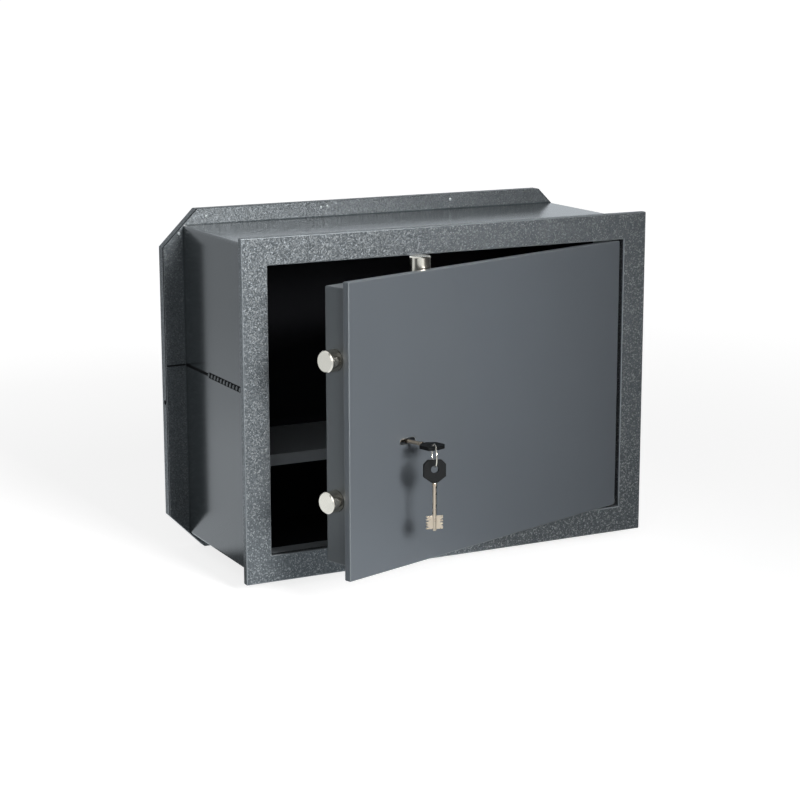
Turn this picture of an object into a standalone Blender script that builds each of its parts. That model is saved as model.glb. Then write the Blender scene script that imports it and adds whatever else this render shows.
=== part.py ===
"""Wall safe with a keyed door, in metres with +Z up.

The origin is the centre of the back panel's rear face. The door hangs on its right side and opens towards -Y.
Every place is measured from the centre of the front frame's front face. Pieces on the door are drawn as if it
were shut, and the empties that carry them turn them to where they stand.
"""
import math

import bmesh
import bpy
from mathutils import Matrix, Vector

# Clearances and facets
TOUCH = 0.0003
SHAFT_PLAY = 0.0003
OVERRUN = 0.010
MERGE = 0.00001
ROUND_SIDES = 24
SMALL_SIDES = 12
ARC_STEPS = 4
SHARP_ANGLE = math.radians(40)
ROUNDED_ANGLE = math.radians(50)

# Front frame
FRAME_SIDE_LIP = 0.0103
FRAME_TOP_LIP = 0.0083
FRAME_THICKNESS = 0.008
FRAME_SIDE_BORDER = 0.0285
FRAME_TOP_BORDER = 0.029
FRAME_EDGE_ROUND = 0.0010
SILL_THICKNESS = 0.0015
SILL_DEPTH = 0.0167
SILL_END_GAP = 0.008

# Body shells and back panel
SAFE_DEPTH = 0.1988
SHEET = 0.002
BODY_WIDTH = 0.4594
BODY_HEIGHT = 0.3424
BODY_CORNER_ROUND = 0.003
SIDE_FLANGE = 0.0228
TOP_FLANGE = 0.0168
FLANGE_CORNER_CUT = 0.0395
TRAY_DEPTH = 0.012
TRAY_HOLE_DIAMETER = 0.006
TRAY_HOLE_HEIGHT = -0.022
SEAM_HEIGHT = 0.0195
SEAM_WELD_START = 0.033
SEAM_WELD_LENGTH = 0.085
SEAM_WELD_WIDTH = 0.005
SEAM_WELD_RISE = 0.0012

# Shelf and its supports
SHELF_HEIGHT = -0.060
SHELF_SETBACK = 0.060
SHELF_BACK_GAP = 0.0168
SHELF_SHEET = 0.0015
SHELF_LIP = 0.012
SHELF_SIDE_PLAY = 0.0015
SUPPORT_LEG = 0.015
SUPPORT_END_MARGIN = 0.010

# Door plate and its place
DOOR_THICKNESS = 0.008
DOOR_SIDE_GAP = 0.0045
DOOR_TOP_GAP = 0.0015
DOOR_EDGE_ROUND = 0.0007
DOOR_ANGLE = math.radians(18.5)
PIVOT_INSET = 0.0175
PIVOT_DEPTH = 0.0115

# Hinges
PIN_DIAMETER = 0.005
PIN_SEAT = 0.018
BLOCK_WIDTH = 0.020
BLOCK_DEPTH = 0.0112
BLOCK_HEIGHT = 0.0297
BLOCK_DROP = 0.0003
BRACKET_THICKNESS = 0.005
BRACKET_DEPTH = 0.0217
BRACKET_REACH = 0.016
BRACKET_GAP = 0.0018
WASHER_DIAMETER = 0.0095
WASHER_THICKNESS = 0.0009

# Lock cover, its posts and its screws
COVER_SHEET = 0.0015
COVER_LEFT_INSET = 0.0025
COVER_RIGHT_INSET = 0.035
COVER_TOP_INSET = 0.007
COVER_BOTTOM_INSET = 0.014
COVER_DEPTH = 0.0272
COVER_EDGE_ROUND = 0.0012
POST_DIAMETER = 0.008
POST_SIDE_MARGIN = 0.022
POST_END_MARGIN = 0.020
SCREW_HEAD_DIAMETER = 0.0075
SCREW_HEAD_HEIGHT = 0.0018
SCREW_DIAMETER = 0.0032
SCREW_LENGTH = 0.009
SCREW_SLOT = 0.0010

# Bolts and their guides
BOLT_DIAMETER = 0.022
BOLT_DEPTH = 0.022
BOLT_CHAMFER = 0.0012
BOLT_THROW = 0.013
SIDE_BOLT_LENGTH = 0.032
SIDE_BOLT_STANDOUT = 0.014
SIDE_BOLT_SHARE = 0.4732
TOP_BOLT_LENGTH = 0.0323
TOP_BOLT_STANDOUT = 0.0183
TOP_BOLT_INSET = 0.1215
GUIDE_THICKNESS = 0.006
GUIDE_MARGIN = 0.008

# Bolt carriage
PLATE_SHEET = 0.003
PLATE_GAP = 0.001
CARRIAGE_WIDTH = 0.0287
CARRIAGE_OVERHANG = 0.0135
CARRIAGE_FLANGE_DEPTH = 0.022
STUD_DIAMETER = 0.006
STUD_PLAY = 0.0004
STUD_HEAD_DIAMETER = 0.010
STUD_HEAD_THICKNESS = 0.0015
STUD_INSET = 0.0212
STUD_HEIGHT_SHARES = (0.2685, -0.4564)
ARM_HEIGHT = 0.020
ARM_REACH = 0.022
DRIVE_HEIGHT_SHARE = 0.4698
DRIVE_INSET = 0.0065
DRIVE_LENGTH = 0.010

# Top slide
SLIDE_WIDTH = 0.028
SLIDE_GAP = 0.0006
SLIDE_BELOW = 0.010
SLIDE_FOOT_DEPTH = 0.0184
BRIDGE_DROP = 0.0277
BRIDGE_WIDTH = 0.012
BRIDGE_SHEET = 0.0025
BRIDGE_PLAY = 0.0007

# Lock case
KEY_INSET = 0.0807
KEY_HEIGHT = -0.0197
KEYWAY_LENGTH = 0.021
KEYWAY_HEIGHT = 0.005
LOCK_SHEET = 0.0015
LOCK_LEFT = 0.0172
LOCK_RIGHT = 0.0413
LOCK_ABOVE = 0.0497
LOCK_BELOW = 0.0403
LOCK_DEPTH = 0.0209
LOCK_BOSS_DIAMETER = 0.008
LID_SCREW_HEAD_DIAMETER = 0.006
LID_SCREW_HEAD_HEIGHT = 0.0014
LID_SCREW_DIAMETER = 0.003

# Lock tongue
TONGUE_PLAY = 0.0007
TONGUE_HEIGHT = 0.0165
TONGUE_LEFT = 0.0497
TONGUE_RIGHT = 0.0183
TONGUE_THICKNESS = 0.0057
NOTCH_WIDTH = 0.009
NOTCH_DEPTH = 0.005
RISER_LEFT = 0.0093
RISER_WIDTH = 0.0065
RISER_SHEET = 0.0015
RISER_TOP = 0.0222
STUMP_DIAMETER = 0.003
RIVET_DIAMETER = 0.004
RIVET_HEAD_DIAMETER = 0.007
RIVET_HEAD_THICKNESS = 0.0012
RIVET_INSETS = (0.0437, 0.0357)

# Levers and their spring
LEVER_COUNT = 4
LEVER_SHEET = 0.0015
LEVER_GAP = 0.0006
LEVER_BELLY = 0.0011
LEVER_HEIGHT = 0.019
LEVER_LEFT = 0.0142
LEVER_RIGHT = 0.0323
LEVER_PIN_LEFT = 0.0107
LEVER_PIN_HEIGHT = 0.0237
LEVER_PIN_DIAMETER = 0.004
LEVER_WINDOW_LEFT = 0.0097
LEVER_WINDOW_LENGTH = 0.0186
LEVER_WINDOW_LOW = 0.0135
LEVER_WINDOW_HEIGHT = 0.0084
LEVER_NOSE = 0.004
LEVER_GATE = 0.0016
LEVER_GATE_ORDER = (0, 3, 2, 1)
SPRING_SHEET = 0.0005
SPRING_TIP_RISE = 0.0017
SPRING_TIP_LEFT = 0.0017
SPRING_RUN = 0.020
SPRING_FOOT = 0.011

# Keys
KEY_LENGTH = 0.0725
KEY_SHAFT_DIAMETER = 0.004
KEY_TIP_LENGTH = 0.002
KEY_TIP_DEPTH = 0.028
BIT_LENGTH = 0.0135
BIT_SPAN = 0.017
BIT_SHEET = 0.002
BIT_STEP = 0.0015
BIT_STEPS = 5
BOW_LENGTH = 0.023
BOW_WIDTH = 0.023
BOW_SHEET = 0.0036
BOW_CORNER = 0.0045
BOW_SHOULDER = 0.006
BOW_NECK_WIDTH = 0.007
BOW_EDGE_ROUND = 0.0006
BOW_HOLE_DIAMETER = 0.0075
BOW_HOLE_MARGIN = 0.00975
TANG_WIDTH = 0.003
TANG_SHEET = 0.0016
TANG_LENGTH = 0.0075

# Key ring
RING_RADIUS = 0.0115
RING_WIRE = 0.0018
RING_TURN = math.radians(-34.5)
RING_REACH = 0.0088
RING_DROP = 0.007
RING_SEAT = 0.00135
RING_SEGMENTS = 32
RING_SIDES = 8

# Places worked out from the sizes above
FRAME_WIDTH = BODY_WIDTH + 2 * FRAME_SIDE_LIP
FRAME_HEIGHT = BODY_HEIGHT + 2 * FRAME_TOP_LIP
OPENING_X = FRAME_WIDTH / 2 - FRAME_SIDE_BORDER
OPENING_Z = FRAME_HEIGHT / 2 - FRAME_TOP_BORDER
BEHIND_FRAME = FRAME_THICKNESS + TOUCH
BODY_X = BODY_WIDTH / 2
BODY_Z = BODY_HEIGHT / 2
INNER_X = BODY_X - SHEET
INNER_Z = BODY_Z - SHEET
FLANGE_X = BODY_X + SIDE_FLANGE
FLANGE_Z = BODY_Z + TOP_FLANGE
TRAY_FRONT = SAFE_DEPTH - TRAY_DEPTH
FLANGE_BACK = TRAY_FRONT - TOUCH
FLANGE_FRONT = FLANGE_BACK - SHEET
TRAY_FLOOR = SAFE_DEPTH - SHEET

DOOR_X = OPENING_X - DOOR_SIDE_GAP
DOOR_Z = OPENING_Z - DOOR_TOP_GAP
DOOR_BACK = DOOR_THICKNESS + TOUCH
PIVOT_X = OPENING_X - PIVOT_INSET
BRACKET_Z = DOOR_Z + BRACKET_GAP

COVER_LEFT = -DOOR_X + COVER_LEFT_INSET
COVER_RIGHT = DOOR_X - COVER_RIGHT_INSET
COVER_TOP = DOOR_Z - COVER_TOP_INSET
COVER_BOTTOM = -DOOR_Z + COVER_BOTTOM_INSET
COVER_BACK = DOOR_BACK + COVER_DEPTH
ROOM_BACK = COVER_BACK - COVER_SHEET - TOUCH

SIDE_BOLT_TIP = COVER_LEFT - SIDE_BOLT_STANDOUT
SIDE_BOLT_ROOT = SIDE_BOLT_TIP + SIDE_BOLT_LENGTH
SIDE_BOLT_RISE = DOOR_Z * SIDE_BOLT_SHARE
SIDE_BOLT_HEIGHTS = (SIDE_BOLT_RISE, -SIDE_BOLT_RISE)
TOP_BOLT_X = -DOOR_X + TOP_BOLT_INSET
TOP_BOLT_TIP = COVER_TOP + TOP_BOLT_STANDOUT
TOP_BOLT_ROOT = TOP_BOLT_TIP - TOP_BOLT_LENGTH

CARRIAGE_LEFT = SIDE_BOLT_ROOT + TOUCH
CARRIAGE_RIGHT = CARRIAGE_LEFT + CARRIAGE_WIDTH
CARRIAGE_FRONT = DOOR_THICKNESS + PLATE_GAP
CARRIAGE_BACK = CARRIAGE_FRONT + PLATE_SHEET
STUD_X = CARRIAGE_LEFT + STUD_INSET
STUD_HEIGHTS = [DOOR_Z * share for share in STUD_HEIGHT_SHARES]
DRIVE_X = TOP_BOLT_X - DRIVE_INSET
DRIVE_HEIGHT = DOOR_Z * DRIVE_HEIGHT_SHARE
SLIDE_FRONT = CARRIAGE_BACK + SLIDE_GAP
SLIDE_BACK = SLIDE_FRONT + PLATE_SHEET
SLIDE_TOP = TOP_BOLT_ROOT - TOUCH
BRIDGE_HEIGHT = SLIDE_TOP - BRIDGE_DROP

KEY_X = -DOOR_X + KEY_INSET
LOCK_X0 = KEY_X - LOCK_LEFT
LOCK_X1 = KEY_X + LOCK_RIGHT
LOCK_Z0 = KEY_HEIGHT - LOCK_BELOW
LOCK_Z1 = KEY_HEIGHT + LOCK_ABOVE
LOCK_INNER = DOOR_BACK + LOCK_SHEET
LOCK_BACK = DOOR_BACK + LOCK_DEPTH
LID_FRONT = LOCK_BACK + TOUCH
BIT_SWEEP = math.hypot(BIT_SPAN / 2, BIT_SHEET / 2)
TONGUE_TOP = KEY_HEIGHT - BIT_SWEEP - TONGUE_PLAY
TONGUE_BOTTOM = TONGUE_TOP - TONGUE_HEIGHT
TONGUE_FRONT = CARRIAGE_BACK + TOUCH
TONGUE_BACK = TONGUE_FRONT + TONGUE_THICKNESS
LEVER_PITCH = LEVER_SHEET + LEVER_GAP
LEVER_FRONT = LOCK_INNER + LEVER_GAP
LEVERS_BACK = LEVER_FRONT + LEVER_COUNT * LEVER_PITCH - LEVER_GAP
LEVER_BOTTOM = KEY_HEIGHT + BIT_SWEEP + LEVER_BELLY
LEVER_TOP = LEVER_BOTTOM + LEVER_HEIGHT
LEVER_PIN_X = KEY_X - LEVER_PIN_LEFT
LEVER_PIN_Z = KEY_HEIGHT + LEVER_PIN_HEIGHT
RISER_X = KEY_X + RISER_LEFT
RISER_FRONT = LEVERS_BACK + LEVER_GAP
RISER_BACK = RISER_FRONT + RISER_SHEET

BOW_BASE = BOW_HOLE_MARGIN - BOW_LENGTH
KEY_TIP = BOW_HOLE_MARGIN - KEY_LENGTH
HOLE_DEPTH = KEY_TIP_DEPTH + KEY_TIP

ALONG_X = Matrix.Rotation(math.pi / 2, 4, "Y")
ALONG_Y = Matrix.Rotation(-math.pi / 2, 4, "X")
ALONG_Z = Matrix.Identity(4)
FACING_Y = Matrix.Rotation(math.pi / 2, 4, "X")
FACING_X = Matrix.Rotation(math.pi / 2, 4, "Z") @ FACING_Y

for old in list(bpy.data.objects):
    bpy.data.objects.remove(old, do_unlink=True)

parts = bpy.data.collections.new("wall_safe")
cutters = bpy.data.collections.new("cutters")
bpy.context.scene.collection.children.link(parts)
bpy.context.scene.collection.children.link(cutters)


def finish(name, colour, roughness, metallic):
    """A plain Principled material."""
    made = bpy.data.materials.new(name)
    made.use_nodes = True
    shader = made.node_tree.nodes["Principled BSDF"]
    shader.inputs["Base Color"].default_value = (*colour, 1.0)
    shader.inputs["Roughness"].default_value = roughness
    shader.inputs["Metallic"].default_value = metallic
    return made


HAMMERED_PAINT = finish("hammered_grey_paint", (0.145, 0.165, 0.175), 0.40, 0.3)
SATIN_PAINT = finish("satin_grey_paint", (0.130, 0.145, 0.160), 0.35, 0.2)
WELD = finish("painted_weld", (0.110, 0.120, 0.130), 0.50, 0.3)
NICKEL = finish("nickel_plate", (0.600, 0.590, 0.550), 0.20, 1.0)
ZINC = finish("zinc_plated_steel", (0.420, 0.430, 0.440), 0.40, 1.0)
BRASS = finish("brass", (0.560, 0.430, 0.200), 0.35, 1.0)
SPRING_STEEL = finish("spring_steel", (0.300, 0.310, 0.330), 0.35, 1.0)
BLACK_PLASTIC = finish("black_plastic", (0.020, 0.022, 0.025), 0.45, 0.0)

drawn_at = {}


def axis_empty(name, place, carrier=None, turn=(0.0, 0.0, 0.0)):
    """An axis that carries pieces, set at the place where it is drawn and then turned."""
    made = bpy.data.objects.new(name, None)
    drawn_at[name] = Vector(place)
    made.rotation_euler = turn
    cutters.objects.link(made)
    if carrier is None:
        made.location = (0.0, -SAFE_DEPTH, 0.0)
    else:
        made.location = drawn_at[name] - drawn_at[carrier.name]
        made.parent = carrier
    return made


origin = axis_empty("front_centre", (0.0, 0.0, 0.0))
shelf_axis = axis_empty("shelf_axis", (0.0, SHELF_SETBACK, SHELF_HEIGHT), origin)
door = axis_empty("door_axis", (PIVOT_X, PIVOT_DEPTH, 0.0), origin, (0.0, 0.0, DOOR_ANGLE))
carriage = axis_empty("carriage_axis", (CARRIAGE_LEFT, BOLT_DEPTH, 0.0), door)
top_axis = axis_empty("top_bolt_axis", (TOP_BOLT_X, BOLT_DEPTH, TOP_BOLT_ROOT), door)
lever_axis = axis_empty("lever_axis", (LEVER_PIN_X, LOCK_INNER, LEVER_PIN_Z), door)
key_place = (KEY_X, HOLE_DEPTH, KEY_HEIGHT)
key_axis = axis_empty("key_axis", key_place, door, (math.pi / 2, 0.0, 0.0))
ring_axis = axis_empty("ring_axis", key_place, door, (0.0, 0.0, RING_TURN))
wire_place = (KEY_X, HOLE_DEPTH - RING_REACH, KEY_HEIGHT - RING_DROP - RING_RADIUS)
spare_axis = axis_empty("spare_key_axis", wire_place, ring_axis)


def hang(name, work, material, carrier):
    """Turn a bmesh drawn in its place into a piece on its axis, or into a cutter if it has no material."""
    mesh = bpy.data.meshes.new(name)
    work.to_mesh(mesh)
    work.free()
    mesh.transform(Matrix.Translation(-drawn_at[carrier.name]))
    mesh.shade_smooth()
    mesh.set_sharp_from_angle(angle=SHARP_ANGLE)
    made = bpy.data.objects.new(name, mesh)
    made.parent = carrier
    if material is None:
        cutters.objects.link(made)
        made.hide_render = True
        made.display_type = "WIRE"
    else:
        parts.objects.link(made)
        mesh.materials.append(material)
    return made


def boxes(name, corners, material=None, carrier=origin):
    """Boxes, each between two opposite corners."""
    work = bmesh.new()
    for low, high in corners:
        middle = Matrix.Translation((Vector(low) + Vector(high)) / 2)
        size = Matrix.Diagonal((*(Vector(high) - Vector(low)), 1.0))
        bmesh.ops.create_cube(work, size=1.0, matrix=middle @ size)
    return hang(name, work, material, carrier)


def rods(name, centres, diameter, length, direction, material=None, carrier=origin, sides=SMALL_SIDES):
    """Round bars of one size, each round its own centre."""
    work = bmesh.new()
    for centre in centres:
        bmesh.ops.create_cone(work, cap_ends=True, segments=sides, radius1=diameter / 2,
                              radius2=diameter / 2, depth=length,
                              matrix=Matrix.Translation(centre) @ direction)
    return hang(name, work, material, carrier)


def slab(name, points, facing, start, end, material=None, carrier=origin):
    """A flat outline given a thickness, from one depth to another along the way that it faces."""
    curve = bpy.data.curves.new(name, "CURVE")
    curve.dimensions = "2D"
    curve.fill_mode = "BOTH"
    curve.extrude = abs(end - start) / 2
    spline = curve.splines.new("POLY")
    spline.points.add(len(points) - 1)
    for knot, (across, up) in zip(spline.points, points):
        knot.co = (across, up, 0.0, 1.0)
    spline.use_cyclic_u = True
    helper = bpy.data.objects.new(name, curve)
    cutters.objects.link(helper)
    bpy.context.view_layer.update()
    flat = bpy.data.meshes.new_from_object(helper.evaluated_get(bpy.context.evaluated_depsgraph_get()))
    work = bmesh.new()
    work.from_mesh(flat)
    bpy.data.objects.remove(helper, do_unlink=True)
    bpy.data.curves.remove(curve)
    bpy.data.meshes.remove(flat)
    bmesh.ops.remove_doubles(work, verts=work.verts, dist=MERGE)
    ahead = Vector((0.0, 1.0, 0.0)) if facing is FACING_Y else Vector((1.0, 0.0, 0.0))
    bmesh.ops.transform(work, matrix=Matrix.Translation(ahead * (start + end) / 2) @ facing, verts=work.verts)
    bmesh.ops.recalc_face_normals(work, faces=work.faces)
    return hang(name, work, material, carrier)


def boolean(target, operation, tools):
    """Leave one Boolean modifier on the target for each tool."""
    for tool in tools:
        step = target.modifiers.new(tool.name, "BOOLEAN")
        step.operation = operation
        step.object = tool
        step.solver = "EXACT"


def carve(target, *tools):
    """Cut tools out of the target."""
    boolean(target, "DIFFERENCE", tools)


def fuse(target, *tools):
    """Join tools to the target as one body."""
    boolean(target, "UNION", tools)


def round_edges(target, width, segments=2):
    """Round a piece's sharp edges."""
    step = target.modifiers.new("edges", "BEVEL")
    step.width = width
    step.segments = segments
    step.limit_method = "ANGLE"
    step.angle_limit = ROUNDED_ANGLE


def arc(centre, radius, start, end):
    """Points along an arc, both ends included."""
    angles = [start + (end - start) * index / ARC_STEPS for index in range(ARC_STEPS + 1)]
    return [(centre[0] + radius * math.cos(angle), centre[1] + radius * math.sin(angle)) for angle in angles]


def stadium(first, last, radius):
    """The outline of a slot between two end centres."""
    heading = math.atan2(last[1] - first[1], last[0] - first[0])
    quarter = math.pi / 2
    return (arc(last, radius, heading - quarter, heading + quarter)
            + arc(first, radius, heading + quarter, heading + 3 * quarter))


def rounded(half_x, half_z, radius):
    """A rectangle's outline with round corners."""
    points = []
    for index, (across, up) in enumerate(((1, 1), (-1, 1), (-1, -1), (1, -1))):
        centre = (across * (half_x - radius), up * (half_z - radius))
        points += arc(centre, radius, index * math.pi / 2, (index + 1) * math.pi / 2)
    return points


def flange_outline(inset):
    """The eight-sided outline of flange and tray, drawn in by an inset."""
    half_x = FLANGE_X - inset
    half_z = FLANGE_Z - inset
    cut = FLANGE_CORNER_CUT - inset * (2 - math.sqrt(2))
    return [(half_x - cut, -half_z), (half_x, -half_z + cut), (half_x, half_z - cut), (half_x - cut, half_z),
            (-half_x + cut, half_z), (-half_x, half_z - cut), (-half_x, -half_z + cut), (-half_x + cut, -half_z)]


def screws(name, carrier, places, head, head_height, shank, direction, driven):
    """Slotted screws: each place is the centre under a head, and driven is the way that it goes in."""
    way = Vector(driven)
    half = Vector((head, head, head)) / 2
    deep = max(range(3), key=lambda index: abs(way[index]))
    half[deep] = head_height / 4
    half[1 if deep == 2 else 2] = SCREW_SLOT / 2
    whole = SCREW_LENGTH + head_height / 2
    for index, place in enumerate(places, 1):
        middle = place - way * head_height / 2
        screw = rods(f"{name}_{index}", [middle], head, head_height, direction, ZINC, carrier)
        face = place - way * head_height
        fuse(screw, rods("add_shank", [middle + way * whole / 2], shank, whole, direction, None, carrier))
        carve(screw, boxes("cut_screw_slot", [(face - half, face + half)], None, carrier))


def front_frame():
    """The thick plate that the door shuts into, and the strip behind its lower border."""
    frame = boxes("front_frame", [((-FRAME_WIDTH / 2, 0.0, -FRAME_HEIGHT / 2),
                                   (FRAME_WIDTH / 2, FRAME_THICKNESS, FRAME_HEIGHT / 2))], HAMMERED_PAINT)
    carve(frame, boxes("cut_opening", [((-OPENING_X, -OVERRUN, -OPENING_Z),
                                        (OPENING_X, FRAME_THICKNESS + OVERRUN, OPENING_Z))]))
    round_edges(frame, FRAME_EDGE_ROUND)
    sill_right = PIVOT_X - BRACKET_REACH - SILL_END_GAP
    boxes("door_sill", [((-OPENING_X, BEHIND_FRAME, -OPENING_Z - SILL_THICKNESS),
                         (sill_right, BEHIND_FRAME + SILL_DEPTH, -OPENING_Z))], SATIN_PAINT)


def body_shell(name, low, high):
    """Half of the folded body with its half of the flange: the other half lies between low and high."""
    shell = slab(name, rounded(BODY_X, BODY_Z, BODY_CORNER_ROUND), FACING_Y, BEHIND_FRAME, FLANGE_BACK,
                 SATIN_PAINT)
    flange = slab("add_flange_" + name, flange_outline(0.0), FACING_Y, FLANGE_FRONT, FLANGE_BACK)
    room = slab("cut_room_" + name, rounded(INNER_X, INNER_Z, BODY_CORNER_ROUND - SHEET), FACING_Y,
                -OVERRUN, SAFE_DEPTH + OVERRUN)
    other_half = boxes("cut_half_" + name, [((-FRAME_WIDTH, -OVERRUN, low),
                                             (FRAME_WIDTH, SAFE_DEPTH + OVERRUN, high))])
    fuse(shell, flange)
    carve(shell, room, other_half)


def rear_panel():
    """The shallow tray behind the flange, with a small hole in its left rim."""
    panel = slab("rear_panel", flange_outline(0.0), FACING_Y, TRAY_FRONT, SAFE_DEPTH, HAMMERED_PAINT)
    inside = slab("cut_tray", flange_outline(SHEET), FACING_Y, TRAY_FRONT - OVERRUN, TRAY_FLOOR)
    hole = rods("cut_tray_hole", [(-FLANGE_X, (TRAY_FRONT + TRAY_FLOOR) / 2, TRAY_HOLE_HEIGHT)],
                TRAY_HOLE_DIAMETER, OVERRUN, ALONG_X)
    carve(panel, inside, hole)


def seam_welds():
    """The flat bead along each side wall's seam."""
    half = SEAM_WELD_WIDTH / 2
    outline = stadium((SEAM_WELD_START + half, SEAM_HEIGHT),
                      (SEAM_WELD_START + SEAM_WELD_LENGTH - half, SEAM_HEIGHT), half)
    for side, name in ((-1, "seam_weld_left"), (1, "seam_weld_right")):
        face = side * (BODY_X + TOUCH)
        bead = slab(name, outline, FACING_X, face, face + side * SEAM_WELD_RISE, WELD)
        round_edges(bead, SEAM_WELD_RISE / 3, 1)


def shelf():
    """The loose shelf with its front edge turned down, and the two angles that it rests on."""
    back = SAFE_DEPTH - SHELF_BACK_GAP
    under = SHELF_HEIGHT - SHELF_SHEET
    lip_back = SHELF_SETBACK + SHELF_SHEET
    half = INNER_X - SHELF_SIDE_PLAY
    profile = [(SHELF_SETBACK, SHELF_HEIGHT - SHELF_LIP), (lip_back, SHELF_HEIGHT - SHELF_LIP), (lip_back, under),
               (back, under), (back, SHELF_HEIGHT), (SHELF_SETBACK, SHELF_HEIGHT)]
    slab("shelf", profile, FACING_X, -half, half, SATIN_PAINT, shelf_axis)
    top = under - TOUCH
    for side, name in ((-1, "shelf_support_left"), (1, "shelf_support_right")):
        wall = side * (INNER_X - TOUCH)
        angle = [(wall, top - SUPPORT_LEG), (wall - side * SHEET, top - SUPPORT_LEG),
                 (wall - side * SHEET, top - SHEET), (wall - side * SUPPORT_LEG, top - SHEET),
                 (wall - side * SUPPORT_LEG, top), (wall, top)]
        slab(name, angle, FACING_Y, SHELF_SETBACK + SUPPORT_END_MARGIN, back - SUPPORT_END_MARGIN, SATIN_PAINT)


def hinges():
    """A block and a pin at each end of the door, the brackets behind the frame, and the lower washer."""
    bore = PIN_DIAMETER + 2 * SHAFT_PLAY
    for side, name in ((1, "upper"), (-1, "lower")):
        near = side * BRACKET_Z
        far = near + side * BRACKET_THICKNESS
        bracket = boxes("hinge_bracket_" + name,
                        [((PIVOT_X - BRACKET_REACH, BEHIND_FRAME, min(near, far)),
                          (INNER_X - TOUCH, BEHIND_FRAME + BRACKET_DEPTH, max(near, far)))], ZINC)
        carve(bracket, rods("cut_bracket_" + name, [(PIVOT_X, PIVOT_DEPTH, near)], bore, 2 * OVERRUN, ALONG_Z,
                            sides=ROUND_SIDES))
        outer = side * (DOOR_Z - BLOCK_DROP)
        inner = outer - side * BLOCK_HEIGHT
        root = outer - side * PIN_SEAT
        block = boxes("hinge_block_" + name,
                      [((PIVOT_X - BLOCK_WIDTH / 2, DOOR_BACK, min(outer, inner)),
                        (PIVOT_X + BLOCK_WIDTH / 2, DOOR_BACK + BLOCK_DEPTH, max(outer, inner)))], ZINC, door)
        carve(block, rods("cut_block_" + name, [(PIVOT_X, PIVOT_DEPTH, outer)], bore, 2 * (PIN_SEAT + TOUCH),
                          ALONG_Z, None, door, ROUND_SIDES))
        rods("hinge_pin_" + name, [(PIVOT_X, PIVOT_DEPTH, (root + far) / 2)], PIN_DIAMETER, abs(far - root),
             ALONG_Z, ZINC, door, ROUND_SIDES)
    middle = -(DOOR_Z + TOUCH + WASHER_THICKNESS / 2)
    washer = rods("thrust_washer", [(PIVOT_X, PIVOT_DEPTH, middle)], WASHER_DIAMETER, WASHER_THICKNESS,
                  ALONG_Z, BRASS, door, ROUND_SIDES)
    carve(washer, rods("cut_washer", [(PIVOT_X, PIVOT_DEPTH, middle)], bore, OVERRUN, ALONG_Z, None, door,
                       ROUND_SIDES))


def keyway(name, start, end):
    """The cutter of the level slot that takes the key's bits."""
    radius = KEYWAY_HEIGHT / 2
    reach = KEYWAY_LENGTH / 2 - radius
    return slab("cut_keyway_" + name, stadium((KEY_X - reach, KEY_HEIGHT), (KEY_X + reach, KEY_HEIGHT), radius),
                FACING_Y, start, end, None, door)


def door_plate():
    """The door's plate with its key slot."""
    plate = boxes("door_plate", [((-DOOR_X, 0.0, -DOOR_Z), (DOOR_X, DOOR_THICKNESS, DOOR_Z))], SATIN_PAINT, door)
    carve(plate, keyway("plate", -OVERRUN, DOOR_THICKNESS + OVERRUN))
    round_edges(plate, DOOR_EDGE_ROUND)


def post_places(depth):
    """The cover's posts at a depth, one near each corner."""
    columns = (COVER_LEFT + POST_SIDE_MARGIN, COVER_RIGHT - POST_SIDE_MARGIN)
    rows = (COVER_BOTTOM + POST_END_MARGIN, COVER_TOP - POST_END_MARGIN)
    return [Vector((x, depth, z)) for z in rows for x in columns]


def lock_cover():
    """The folded cover over the bolt work, its posts and its screws."""
    cover = boxes("lock_cover", [((COVER_LEFT, DOOR_BACK - OVERRUN, COVER_BOTTOM),
                                  (COVER_RIGHT, COVER_BACK, COVER_TOP))], SATIN_PAINT, door)
    round_edges(cover, COVER_EDGE_ROUND)
    inside = boxes("cut_cover_inside", [((COVER_LEFT + COVER_SHEET, -2 * OVERRUN, COVER_BOTTOM + COVER_SHEET),
                                         (COVER_RIGHT - COVER_SHEET, COVER_BACK - COVER_SHEET,
                                          COVER_TOP - COVER_SHEET))], None, door)
    ahead = boxes("cut_cover_front", [((-FRAME_WIDTH, -2 * OVERRUN, -FRAME_HEIGHT),
                                       (FRAME_WIDTH, DOOR_BACK, FRAME_HEIGHT))], None, door)
    bolt_bore = BOLT_DIAMETER + 2 * SHAFT_PLAY
    screw_bore = SCREW_DIAMETER + 2 * SHAFT_PLAY
    carve(cover, inside, ahead,
          rods("cut_cover_side_bolts", [(COVER_LEFT, BOLT_DEPTH, z) for z in SIDE_BOLT_HEIGHTS], bolt_bore,
               OVERRUN, ALONG_X, None, door, ROUND_SIDES),
          rods("cut_cover_top_bolt", [(TOP_BOLT_X, BOLT_DEPTH, COVER_TOP)], bolt_bore, OVERRUN, ALONG_Z, None,
               door, ROUND_SIDES),
          rods("cut_cover_screws", post_places(COVER_BACK), screw_bore, OVERRUN, ALONG_Y, None, door))
    threads = rods("cut_posts", post_places(COVER_BACK), screw_bore, 2 * (SCREW_LENGTH + TOUCH), ALONG_Y,
                   None, door)
    length = ROOM_BACK - DOOR_BACK
    for index, place in enumerate(post_places(DOOR_BACK + length / 2), 1):
        carve(rods(f"cover_post_{index}", [place], POST_DIAMETER, length, ALONG_Y, ZINC, door), threads)
    screws("cover_screw", door, post_places(COVER_BACK + TOUCH), SCREW_HEAD_DIAMETER, SCREW_HEAD_HEIGHT,
           SCREW_DIAMETER, ALONG_Y, (0.0, -1.0, 0.0))


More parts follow.
